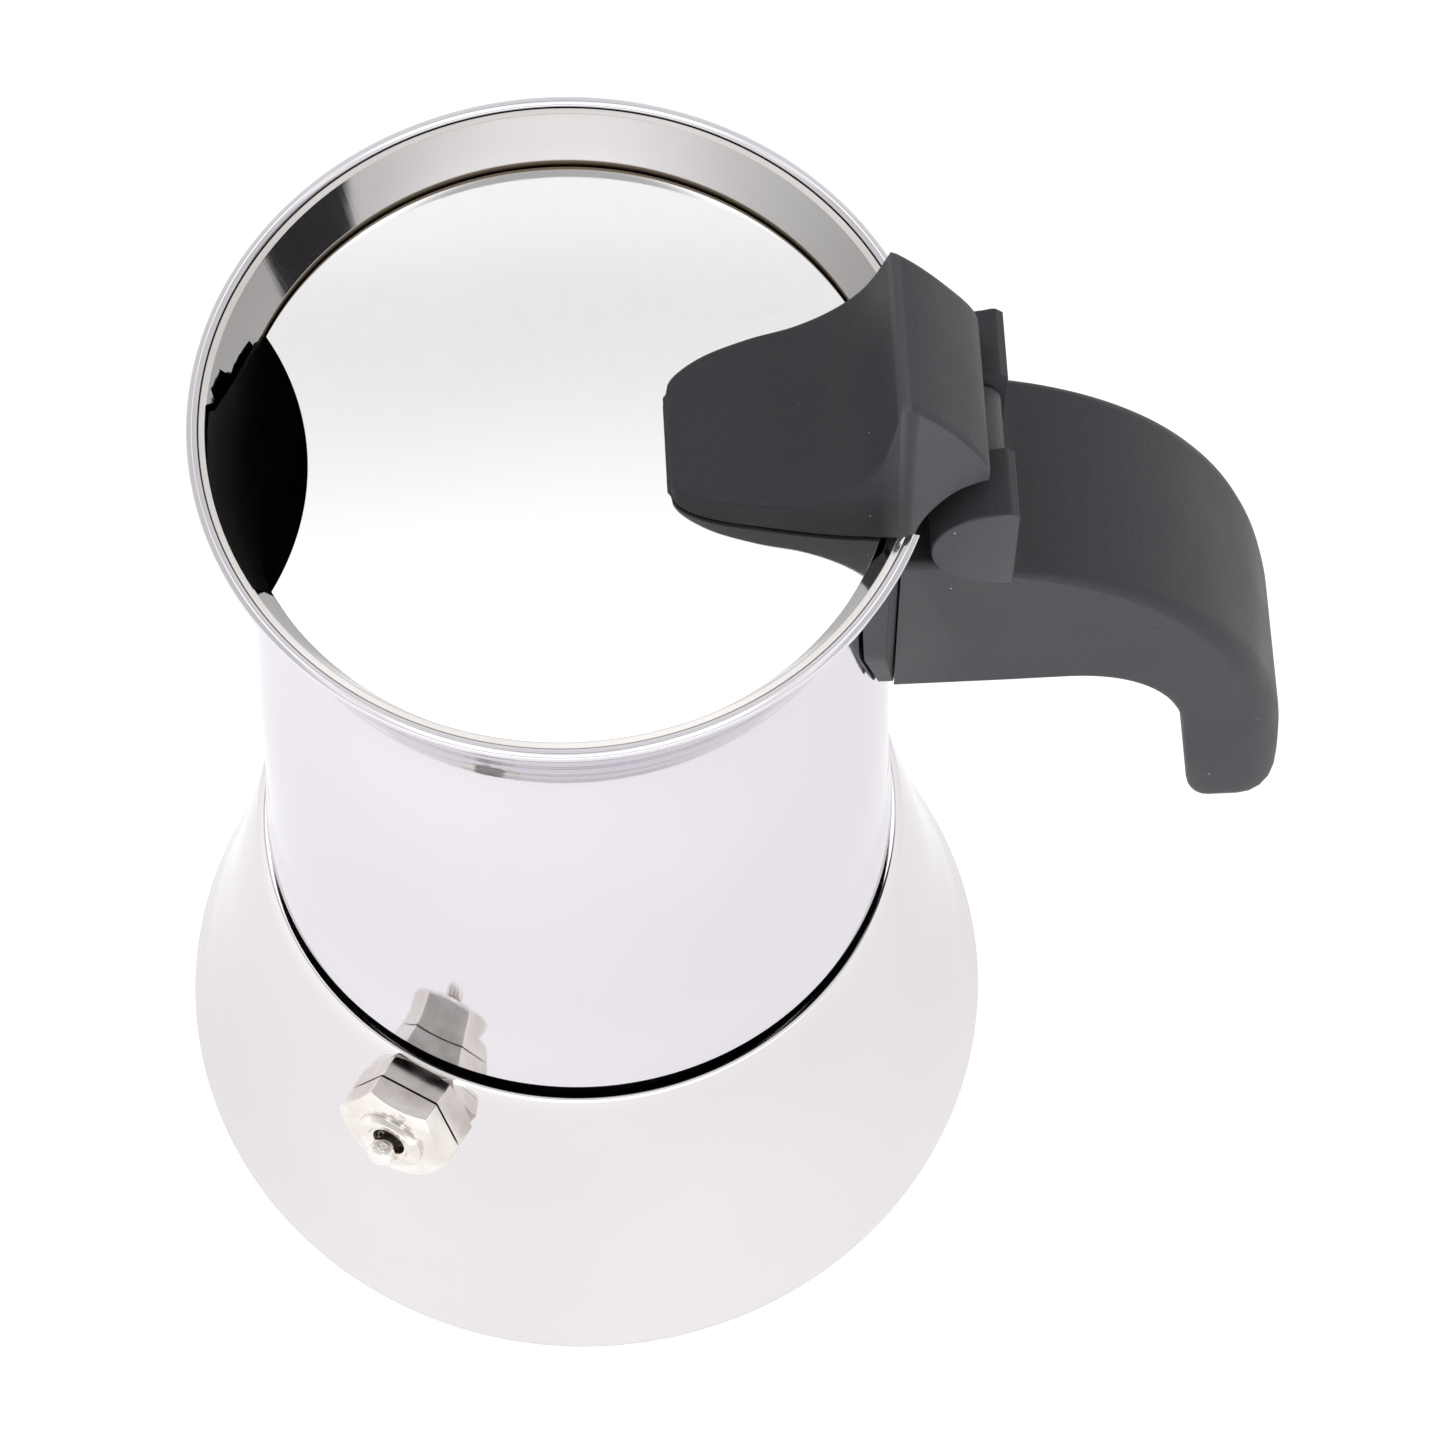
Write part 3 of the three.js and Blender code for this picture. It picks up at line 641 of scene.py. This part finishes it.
CONE = [
    (48.8, BOILER_BOTTOM), (51.3, 2.7), (BOILER_R, 4.8), (51.7, 6.9), (50.2, 11.5), (48.9, 16.5),
    (46.5, 26.8), (43.3, 43.0), (40.45, 57.2),
]


def boiler_shell():
    inner = [(NECK_BORE, NECK_TOP, 0.3), (NECK_BORE, 57.2, 0.6), (38.9, 56.9, 0.4), (45.4, 26.4),
             (47.8, 16.2), (50.4, 7.0), (50.4, 4.8, 1.0), (48.6, 3.4), (0, 3.4)]
    shell = lathe("shell", [
        (0, BOILER_BOTTOM), *curve(CONE, 8), (39.7, SHOULDER_Z, 0.4),
        (NECK_R, SHOULDER_Z, 0.6), (NECK_R, NECK_TOP, 0.4), *inner,
    ], 192)
    join(shell, ridge("ridge", NECK_R, THREAD_DEPTH, THREAD_START))
    cut(shell, rod("hole", SHANK_R + REACH, -6, 6, place=VALVE))
    settle(shell, "boiler_shell", mirror_cone)


def base_disc():
    top = high("base_disc", 2)
    disc = lathe("disc", [(0, 0.25), (30, 0.25), (31, 0), (44.5, 0, 0.3), (46, top, 0.2), (0, top)])
    settle(disc, "base_disc", satin_steel)


def funnel():
    basket = lathe("basket", [
        (5.0, 38.4), (5.8, 38.4, 0.2), (5.8, 40.9, 1.0), (28.2, 49.4, 1.5), (30.5, 50.4, 1.0),
        (30.5, 70.3, 0.5), (BASKET_R, 70.3, 0.3), (BASKET_R, BASKET_TOP, 0.3),
        (29.7, BASKET_TOP, 0.8), (29.7, 50.9, 0.8), (27.6, 50.3, 1.0), (5.0, 41.7, 0.5),
    ])
    settle(basket, "funnel_basket", satin_steel)
    tip = low("funnel_tube", 2)
    stem = lathe("stem", [
        (3.8, tip), (4.6, tip, 0.2), (4.6, 41.2, 0.2), (3.8, 41.2),
    ], SMALL_ROUND)
    settle(stem, "funnel_tube", satin_steel)
    z0, z1 = low("funnel_screen", 2), high("funnel_screen", 2)
    screen = perforated("screen", 29.3, z0, z1, 27.0, 3.0, 0.55)
    settle(screen, "funnel_screen", satin_steel)


def perforated(name, radius, z0, z1, reach, spacing, hole):
    """A round plate with a close grid of holes out to a radius."""
    plate = lathe(name, [(0, z0), (radius, z0, 0.15), (radius, z1, 0.15), (0, z1)], 96)
    bm = bmesh.new()
    rows = int(reach / spacing) + 1
    for j in range(-rows, rows + 1):
        for i in range(-rows, rows + 1):
            x = (i + 0.5 * (j % 2)) * spacing
            y = j * spacing * math.sqrt(0.75)
            if math.hypot(x, y) > reach:
                continue
            rings = [
                [bm.verts.new((x + hole * math.cos(k * math.pi / 5),
                               y + hole * math.sin(k * math.pi / 5), z)) for k in range(10)]
                for z in (z0 - REACH, z1 + REACH)
            ]
            skin(bm, rings)
    return cut(plate, to_object("holes", bm))


def safety_valve():
    washer = lathe("washer", [
        (SHANK_R + REACH, -3.7, 0.15), (5.9, -3.7, 0.2), (5.9, -2.8, 0.2),
        (SHANK_R + REACH, -2.8, 0.15),
    ], SMALL_ROUND, VALVE)
    settle(washer, "valve_washer", silicone)

    collar = hexagon("collar", HEX_FLATS, -0.55, 3.2, front=False)
    cut(collar, rod("bore", SHANK_R + REACH, -1, 5, place=VALVE))
    settle(collar, "valve_collar", nickel, bevel=0.12)

    head = hexagon("head", HEX_FLATS, 3.5, 6.8, back=False)
    shank = rod("shank", SHANK_R, -7.6, 4.0, place=VALVE)
    lip = lathe("lip", [
        (0, 6), (4.55, 6), (4.4, 7.3, 0.5), (3.8, 7.9, 0.35), (2.9, 7.9, 0.4), (2.5, 7.4), (0, 7.4),
    ], 72, VALVE)
    join(head, shank, lip)
    cut(head, rod("chamber", CHAMBER_R, -9, 5.9, place=VALVE), rod("mouth", 2.2, 5, 9, place=VALVE))
    settle(head, "valve_body", nickel, bevel=0.12)

    nut = hexagon("nut", 11.2, -7.2, -4.0)
    cut(nut, rod("bore", SHANK_R + REACH, -8, 0, place=VALVE))
    settle(nut, "valve_nut", nickel)

    seat = lathe("seat", [
        (1.4, -7.5, 0.15), (CHAMBER_R - REACH, -7.5), (CHAMBER_R - REACH, -6.5), (1.4, -6.5, 0.3),
    ], SMALL_ROUND, VALVE)
    settle(seat, "valve_seat", nickel)

    plunger = lathe("plunger", [
        (0, -6.2), (2.5, -6.2, 0.2), (2.5, -5.2, 0.2), (1.1, -5.2, 0.3), (1.1, 8.3, 0.15),
        (1.7, 8.6, 0.2), (1.7, 9.9, 0.5), (1.1, 10.4, 0.3), (0, 10.4),
    ], SMALL_ROUND, VALVE)
    settle(plunger, "valve_plunger", nickel)
    valve_spring()


def valve_spring():
    """The coil between the plunger's disc and the inside of the body's mouth."""
    coil, wire, turns = 2.1, 0.35, 5
    bottom, top = -4.6, 5.3
    steps = turns * 36
    rings = []
    for i in range(steps + 1):
        angle = 2 * math.pi * turns * i / steps
        out = Vector((math.cos(angle), math.sin(angle), 0))
        centre = out * coil + Vector((0, 0, bottom + (top - bottom) * i / steps))
        ring = []
        for k in range(12):
            a = 2 * math.pi * k / 12
            ring.append(centre + out * wire * math.cos(a) + Vector((0, 0, wire * math.sin(a))))
        rings.append(ring)
    spring = loft("spring", rings, VALVE)
    settle(spring, "valve_spring", satin_steel)
    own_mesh(spring)


# ---- collector ------------------------------------------------------------------------------

WALL = [
    (39.2, COLLECTOR_BOTTOM), (39.12, 63), (38.95, 66), (38.7, 69), (38.4, 73), (38.2, 80),
    (37.7, 99), (36.9, 118), WAIST, (36.7, 143.5), (37.8, 148), (39.6, 152.8), (41.0, 156.6),
    (RIM_R, RIM_TOP - 0.9),
]


def hinge_notch():
    return block("notch", (25, 60), (-NOTCH_HALF, NOTCH_HALF), (NOTCH_Z, 170))


def collector_shell():
    outer = curve(WALL, 7)
    inner = [(r - SHEET, z + 0.15) for r, z in outer[:-4]]
    inner[0] = (inner[0][0], COLLECTOR_BOTTOM)
    bead = [
        (RIM_R, RIM_TOP - 0.3, 0.3), (RIM_R - 0.7, RIM_TOP, 0.35),
        (RIM_R - 1.3, RIM_TOP - 0.3, 0.3),
    ]
    shell = lathe("shell", [*outer[:-1], *bead, *reversed(inner)], 192)
    cut(shell, hinge_notch())
    settle(shell, "collector_shell", mirror_body)


def spout_cut():
    """What is trimmed from the band at the spout, down to a narrow strip at its outer edge."""
    outline = [
        (-50, 3.0), (-40.1, 3.0, 0.8), (-38.6, 5.0, 1.6), (-36.9, 9.6, 6.0), (-34.2, 14.8, 4.0),
        (-32.6, 16.4), (-20, 10), (-20, -10), (-32.2, -17.0), (-33.8, -18.1, 1.0), (-34.8, -19.6),
        (-50, -22),
    ]
    tool = prism("trim", outline, 30, "xyz", 140)
    return combine(tool, rod("keep", BAND_KEEP_R, 145, 165, ROUND), "INTERSECT")


def rim_band():
    foot = low("rim_band", 2)
    band = lathe("band", [
        (LIP_R - 0.15, foot, 0.1), (LIP_R + 0.6, foot, 0.1), (38.6, 155.0, 0.6), (39.7, 157.2, 0.3),
        (40.4, BAND_TOP - 0.3, 0.1), (40.4, BAND_TOP, 0.1), (39.6, BAND_TOP, 0.1),
        (38.1, 155.4, 0.4), (LIP_R - 0.15, foot + 1.3, 0.3),
    ], 192)
    cut(band, hinge_notch(), spout_cut())
    settle(band, "rim_band", band_steel)


def collector_insides():
    ring = lathe("ring", [
        (RING_THREAD_R, COLLECTOR_BOTTOM + REACH, 0.3), (RING_R, COLLECTOR_BOTTOM + REACH, 0.3),
        (RING_R, RING_TOP, 0.2), (RING_THREAD_R, RING_TOP, 0.2),
    ])
    join(ring, ridge("ridge", RING_THREAD_R, -THREAD_DEPTH, THREAD_START + THREAD_PITCH / 2))
    settle(ring, "threaded_ring", satin_steel)

    floor = lathe("dome", [
        (RING_R, FLOOR_BOTTOM), (RING_R, FLOOR_BOTTOM + 1.1, 0.3), (24.2, 76.7, 4), (16.6, 79.5, 4),
        (9.3, 84.8, 4), (7.6, 88.2, 0.2), (6.6, 88.2, 0.2), (8.3, 84.2, 4), (16.0, 78.5, 4),
        (24.0, FLOOR_BOTTOM, 4),
    ])
    settle(floor, "collector_floor", satin_steel)

    riser = lathe("riser", [
        (6.7, COLUMN_BOTTOM), (6.2, 95, 3), (4.7, 114, 3), (4.7, COLUMN_TOP, 0.2),
        (3.8, COLUMN_TOP, 0.2), (3.8, 114, 3), (5.2, 95, 3), (5.7, COLUMN_BOTTOM),
    ], 72)
    settle(riser, "column", satin_steel)

    cap = lathe("cap", [
        (5.0, 121.5, 0.1), (5.9, 121.5, 0.3), (5.9, 131, 1.5), (4.5, 133, 2),
        (0, high("column_cap", 2)), (0, 132.8), (4.0, 132.2, 1), (5.0, 130.8, 0.5),
    ], 72)
    cut(cap, block("window", (-8, 8), (-2, 2), (128.6, 130.6)))
    settle(cap, "column_cap", satin_steel)

    bottom, top = low("filter_plate", 2), high("filter_plate", 2)
    plate = perforated("plate", 23.0, bottom, bottom + 0.7, 21.0, 2.6, 0.5)
    rim = lathe("rim", [
        (22.6, bottom), (23.4, bottom, 0.3), (23.4, top - 0.6, 0.3), (31.6, top - 0.6, 0.2),
        (31.6, top, 0.2), (22.6, top, 0.4),
    ])
    join(plate, rim)
    settle(plate, "filter_plate", satin_steel)

    gasket = lathe("gasket", [
        (23.8, GASKET_BOTTOM, 0.5), (GASKET_R, GASKET_BOTTOM, 0.5), (GASKET_R, GASKET_TOP, 0.5),
        (23.8, GASKET_TOP, 0.5),
    ])
    settle(gasket, "gasket", silicone)


# ---- handle ---------------------------------------------------------------------------------

def oval_ring(near, far, half, near_radius, far_radius):
    """A rounded rectangle across the handle: from point near to far of the XZ plane, half wide."""
    span = far - near
    length = span.length
    way = span.normalized()
    corners = (
        (length, half, far_radius, 0), (length, -half, far_radius, 1),
        (0, -half, near_radius, 2), (0, half, near_radius, 3),
    )
    ring = []
    for s, y, radius, quarter in corners:
        radius = min(radius, 0.48 * length, half * 0.95)
        s_centre = s - math.copysign(radius, s - length / 2)
        y_centre = y - math.copysign(radius, y)
        for i in range(ARC_STEPS + 1):
            a = math.pi / 2 * (1 - quarter) - math.pi / 2 * i / ARC_STEPS
            point = near + way * (s_centre + radius * math.cos(a))
            ring.append(Vector((point.x, y_centre + radius * math.sin(a), point.y)))
    return ring


def hook():
    """The open handle: rounded sections that follow its inner and outer curves down to the tip."""
    tip_radius = 2.9
    front_top = 144.5
    start = HANDLE_FRONT_R - 4
    under = [Vector((50, HANDLE_UNDER)),
             *bezier((57, HANDLE_UNDER), (67, HANDLE_UNDER), (72, 106), (72.6, 93.6), 40),
             Vector((73.8, HANDLE_FOOT + tip_radius))]
    over = [Vector((50, 141.6)),
            *bezier((50, 141.6), (76, 134), (HANDLE_BACK, 108), (HANDLE_BACK, 83), 60)[1:],
            Vector((HANDLE_BACK, HANDLE_FOOT + tip_radius))]
    count = 44
    pairs = [
        (Vector((start, HANDLE_UNDER)), Vector((start, front_top))),
        (Vector((start + 1, HANDLE_UNDER)), Vector((start + 1, front_top))),
        (Vector((46.6, HANDLE_UNDER)), Vector((46.6, front_top))),
        (Vector((47.4, HANDLE_UNDER)), Vector((47.4, 144.1))),
        *zip(along(under, count), along(over, count)),
    ]
    rings = []
    for i, (near, far) in enumerate(pairs):
        t = max(0, (i - 4) / count)
        soft = 1.0 + 4.0 * min(1, t / 0.8) ** 1.5
        rings.append(oval_ring(near, far, HANDLE_HALF, 1.2 + 1.2 * t, soft))
    near, far = pairs[-1]
    for i in range(1, 6):
        a = math.pi / 2 * i / 5
        inset = tip_radius * (1 - math.cos(a))
        drop = Vector((0, -tip_radius * math.sin(a)))
        way = (far - near).normalized()
        rings.append(oval_ring(
            near + drop + way * inset, far + drop - way * inset, HANDLE_HALF - inset,
            2.4, max(5.0 - inset, 2.2)))
    return loft("hook", rings)


def ear(side):
    """One hinge ear: a raised pad with a round front and a chamfered back corner."""
    x, z = EAR_CENTRE
    outline = [
        (EAR_BACK, z - EAR_R), (EAR_BACK, EAR_TOP - 0.9, 0.3), (EAR_BACK - 0.9, EAR_TOP, 0.5),
    ]
    for i in range(17):
        a = math.pi / 2 + math.pi * i / 16
        outline.append((x + EAR_R * math.cos(a), z + EAR_R * math.sin(a)))
    start = EAR_INNER if side > 0 else -EAR_OUTER
    return prism("ear", outline, EAR_OUTER - EAR_INNER, "xzy", start, edge=0.45)


def bracket_pocket(x1):
    """The space that the steel bracket takes, with its clearance."""
    plate_half = high("handle_bracket", 1) + REACH
    plate = block("plate", (30, 38.75), (-plate_half, plate_half), POCKET_SPAN)
    tab = block("tab", (30.1, x1), (-plate_half + 0.01, plate_half - 0.01), (127.7, 129.5))
    return join(plate, tab)


def handle():
    body = join(hook(), ear(1), ear(-1))
    screw = upright(HANDLE_SCREW_X)
    cut(
        body,
        rod("front", HANDLE_FRONT_R, *HANDLE_SPAN, ROUND),
        cross_rod("bore", PIN_BORE_R, -PIN_BORE_HALF, PIN_BORE_HALF, SMALL_ROUND),
        rod("screw_way", 2.3, 110, NUT_FLOOR + 0.05, place=screw),
        rod("head_way", 4.2, 110, 119.3, place=screw),
        rod("nut_way", NUT_RECESS_R, NUT_FLOOR, 134.5, place=screw),
        block("nut_slot", (HANDLE_FRONT_R - 1, HANDLE_SCREW_X), (-NUT_RECESS_R, NUT_RECESS_R),
              (NUT_FLOOR, 134.45)),
        bracket_pocket(50.5),
    )
    settle(body, "handle", nylon)


def handle_saddle():
    """A shield-shaped pad, curved with the wall behind it and the handle's hollow front."""
    half, half_low = 16, 11.8
    bottom, top = 113.4, high("handle_saddle", 2)
    outline = [
        (-half, top, 0.6), (-half, 128, 12), (-half_low - 0.9, bottom + 3, 2.5),
        (-half_low, bottom, 2), (half_low, bottom, 2), (half_low + 0.9, bottom + 3, 2.5),
        (half, 128, 12), (half, top, 0.6),
    ]
    shield = prism("saddle", outline, 15, "yzx", 30)
    combine(shield, rod("pad", HANDLE_FRONT_R - REACH, *HANDLE_SPAN, ROUND), "INTERSECT")
    wall = [(r + REACH, z) for r, z in curve(WALL, 4)]
    round_wall = lathe("wall", [(0, COLLECTOR_BOTTOM), *wall, (0, RIM_TOP - 0.9)], 192)
    cut(round_wall, block("above", (0, 60), (-40, 40), (NOTCH_Z + REACH, 170)))
    inside = rod("inside", LIP_R, NOTCH_Z, RIM_TOP, ROUND)
    cut(shield, round_wall, inside, block("pocket", (30, 60), (-7.3, 7.3), POCKET_SPAN))
    settle(shield, "handle_saddle", nylon, bevel=0.2)


def fasteners():
    top = high("handle_screw", 2)
    foot = low("handle_screw", 2)
    screw = lathe("screw", [
        (0, foot), (3.0, foot, 0.5), (3.6, foot + 0.9, 0.5), (3.6, 118.2, 0.3), (3.2, 119.0),
        (1.9, 119.0, 0.2), (1.9, top, 0.4), (0, top),
    ], SMALL_ROUND, upright(HANDLE_SCREW_X))
    cut(screw, *cross_slot(HANDLE_SCREW_X, foot, foot + 1.4, 2.1))
    settle(screw, "handle_screw", satin_steel)

    for node, x in KNOB_SCREWS.items():
        foot, top = low(node, 2), high(node, 2)
        screw = lathe("screw", [
            (0, foot), (2.0, foot, 0.8), (3.1, foot + 0.8, 0.3), (3.1, 150.7, 0.1), (1.5, 150.7),
            (1.5, top, 0.3), (0, top),
        ], SMALL_ROUND, upright(x))
        cut(screw, *cross_slot(x, foot, foot + 0.8, 1.8))
        settle(screw, node, satin_steel)

    half = high("hinge_pin", 1)
    pin = lathe("pin", [
        (0, -half), (1.6, -half, 0.4), (1.6, half, 0.4), (0, half),
    ], SMALL_ROUND, HINGE)
    settle(pin, "hinge_pin", satin_steel)


def cross_slot(x, bottom, top, half):
    """The two cutting blades of a cross recess under a screw's head."""
    return (
        block("slot", (x - half, x + half), (-0.4, 0.4), (bottom - 1, top)),
        block("slot", (x - 0.4, x + 0.4), (-half, half), (bottom - 1, top - 0.01)),
    )


# ---- lid ------------------------------------------------------------------------------------

def lid():
    disc = rod("lid", LID_R, LID_BOTTOM, LID_TOP, 192)
    bite = rod("bite", SCOOP_R, 140, 160, 192, upright(SCOOP_X - SCOOP_R))
    holes = [
        rod("hole", KNOB_SCREW_WAY_R, 140, 160, 32, upright(x)) for x in KNOB_SCREWS.values()
    ]
    cut(disc, bite, *holes)
    settle(disc, "lid", mirror_lid, bevel=0.28)


# The lever's cross-sections: x, height of its top, half-width at the top, half-width at the foot.
SCOOP = [
    (KNOB_TIP, 153.8, 5.6, 6.2), (12.6, 154.8, 7.4, 8.3), (16, 156.0, 9.2, 9.9),
    (21, 157.0, 10.6, 11.0), (26, 158.0, 11.3, 12.0), (30, 160.2, 11.8, 12.6),
    (33, 163.8, 11.8, 12.9), (34.8, 168.5, 11.2, 13.1), (36.4, KNOB_TOP, 9.8, 13.2),
]
BACK = [
    (37.1, 175.9, 9.7, 13.2), (39.0, 173.9, 9.6, 12.9), (41.0, 171.4, 9.5, 12.3),
    (43.2, 168.1, 9.5, 11.4), (44.9, 165.2, 9.6, 10.8), (46.0, 162.8, 9.7, 10.2),
    (KNOB_BACK, 160.6, 9.7, 9.9),
]


def blend_stations(stations, steps):
    """The stations joined by a smooth curve in all four of their numbers."""
    heights = curve([(x, top) for x, top, _, _ in stations], steps)
    widths = curve([(half_top, half_foot) for _, _, half_top, half_foot in stations], steps)
    return [(*height, *width) for height, width in zip(heights, widths)]


def knob_ring(x, top, half_top, half_foot, inset=0.0):
    """One cross-section of the lever, with rounded upper edges and slightly full sides."""
    foot = KNOB_FOOT + inset
    half_top -= inset
    half_foot -= inset
    top -= inset
    outline = [(-half_foot, foot, 0.3), (half_foot, foot, 0.3),
               (half_top, top, 0.9), (-half_top, top, 0.9)]
    return [Vector((x, point.x, point.y)) for point in rounded(outline)]


def lid_knob():
    stations = blend_stations(SCOOP, 6) + blend_stations(BACK, 4)
    first, last = stations[0], stations[-1]
    rings = [knob_ring(first[0], *first[1:], inset=0.45)]
    rings += [knob_ring(first[0] + 0.35, *first[1:])]
    rings += [knob_ring(*station) for station in stations[1:-1] if station[0] > first[0] + 0.4]
    rings += [knob_ring(last[0] - 0.35, *last[1:]), knob_ring(last[0], *last[1:], inset=0.4)]
    body = loft("knob", rings)
    for side in (-1, 1):
        near, far = sorted((side * (TONGUE_HALF + 0.05), side * 20))
        hollow = cross_rod("hollow", KNOB_CLEAR_R, near, far)
        behind = block("behind", (HINGE_X, 60), (near, far), (140, HINGE_Z + KNOB_CLEAR_R - 0.001))
        cut(body, hollow, behind)
    web = block("web", (41, KNOB_BACK - 0.01), (-TONGUE_HALF, TONGUE_HALF), (HINGE_Z, 160))
    tongue = cross_rod("tongue", BARREL_R, -TONGUE_HALF + 0.001, TONGUE_HALF - 0.001)
    join(body, web, tongue)
    cut(body, cross_rod("bore", PIN_BORE_R, -20, 20, SMALL_ROUND))
    for x in KNOB_SCREWS.values():
        cut(body, rod("screw_way", KNOB_SCREW_WAY_R, 140, 156.2, 32, upright(x)))
    settle(body, "lid_knob", nylon, bevel=0.22)


# ---- pieces kept from the CAD ---------------------------------------------------------------

def keep_cad_nodes():
    for node in ("handle_bracket", "handle_nut"):
        kept = frame["nodes"][node]
        kept.data.materials.clear()
        kept.data.materials.append(satin_steel)


# ---- studio ---------------------------------------------------------------------------------

FLOOR_HALF = 2000
FLOOR_CELLS = 8
FLOOR_GAP = 0.2             # the floor lies this far under the pot


def studio_floor():
    """A matt white table whose own light falls off from the spout's side to the handle's."""
    bm = bmesh.new()
    bmesh.ops.create_grid(bm, x_segments=FLOOR_CELLS, y_segments=FLOOR_CELLS, size=FLOOR_HALF)
    floor = to_object("studio_floor", bm, Matrix.Translation((0, 0, -FLOOR_GAP * MM)))
    m = Material("white_floor", Roughness=0.9)
    m.feed(m.shader.inputs["Base Color"], m.ramp(m.noise(m.position, 3), (0.3, 0.46), (0.7, 0.48)))
    across = m.node("ShaderNodeSeparateXYZ", Vector=m.position).outputs[0]
    side = m.math("MAXIMUM", m.math("MINIMUM", across, 0.2), -0.2)
    m.shader.inputs["Emission Color"].default_value = (1.0, 0.99, 1.0, 1)
    glow = m.math("ADD", m.math("MULTIPLY", side, -0.35), 0.745)
    m.feed(m.shader.inputs["Emission Strength"], glow)
    floor.data.materials.append(m.made)


def studio_world():
    """A white tent: pale walls, a bright panel low in front and a bright strip high behind."""
    world = bpy.data.worlds.new("studio")
    bpy.context.scene.world = world
    world.use_nodes = True
    tree = world.node_tree
    background = tree.nodes["Background"]
    direction = tree.nodes.new("ShaderNodeTexCoord").outputs["Generated"]
    parts = tree.nodes.new("ShaderNodeSeparateXYZ")
    tree.links.new(direction, parts.inputs[0])
    ramp = tree.nodes.new("ShaderNodeValToRGB")
    ramp.color_ramp.interpolation = "EASE"
    stops = [
        (0.0, 0.72), (0.25, 0.56), (0.5, 0.46), (0.80, 0.44), (0.8545, 0.72), (0.858, 0.74),
        (0.8625, 0.62), (0.8695, 0.62), (0.876, 0.67), (0.884, 0.78), (0.90, 1.0), (0.925, 1.0),
        (0.95, 0.4), (1.0, 0.35),
    ]
    while len(ramp.color_ramp.elements) < len(stops):
        ramp.color_ramp.elements.new(0.5)
    for element, (position, value) in zip(ramp.color_ramp.elements, stops):
        element.position = position
        element.color = (value, value * 0.995, value, 1)
    tree.links.new(parts.outputs[2], ramp.inputs["Fac"])
    tree.links.new(ramp.outputs["Color"], background.inputs["Color"])

    def combine_values(operation, *values):
        made = tree.nodes.new("ShaderNodeMath")
        made.operation = operation
        for socket, value in zip(made.inputs, values):
            if isinstance(value, float):
                socket.default_value = value
            else:
                tree.links.new(value, socket)
        return made.outputs[0]

    ahead = combine_values("MAXIMUM", combine_values("MULTIPLY", parts.outputs[1], -1.0), 0.0)
    low_down = combine_values("MAXIMUM", combine_values("SUBTRACT", 0.7, parts.outputs[2]), 0.0)
    panel = combine_values("MULTIPLY", combine_values("MULTIPLY", ahead, ahead), low_down)
    strength = combine_values("ADD", combine_values("MULTIPLY", panel, 2.9), 1.6)
    tree.links.new(strength, background.inputs["Strength"])


def camera():
    """Looks down at the pot from the front, a little from its left."""
    pitch = math.radians(CAMERA_PITCH)
    yaw = math.radians(CAMERA_YAW)
    roll = math.radians(CAMERA_ROLL)
    forward = Vector((math.sin(yaw) * math.cos(pitch), math.cos(yaw) * math.cos(pitch),
                      -math.sin(pitch)))
    right = Vector((math.cos(yaw), -math.sin(yaw), 0))
    up = right.cross(forward)
    tilted_right = math.cos(roll) * right + math.sin(roll) * up
    tilted_up = -math.sin(roll) * right + math.cos(roll) * up
    data = bpy.data.cameras.new("camera")
    data.lens = CAMERA_LENS
    data.sensor_width = CAMERA_SENSOR
    data.clip_start = 0.05
    data.clip_end = 20
    made = bpy.data.objects.new("camera", data)
    bpy.context.scene.collection.objects.link(made)
    turn = Matrix((tilted_right, tilted_up, -forward)).transposed()
    made.matrix_world = Matrix.Translation(Vector(CAMERA_PLACE) * MM) @ turn.to_4x4()
    bpy.context.scene.camera = made


boiler_shell()
base_disc()
funnel()
safety_valve()
collector_shell()
rim_band()
collector_insides()
handle()
handle_saddle()
fasteners()
lid()
lid_knob()
keep_cad_nodes()
studio_floor()
studio_world()
camera()
bpy.context.scene.view_settings.view_transform = "Standard"
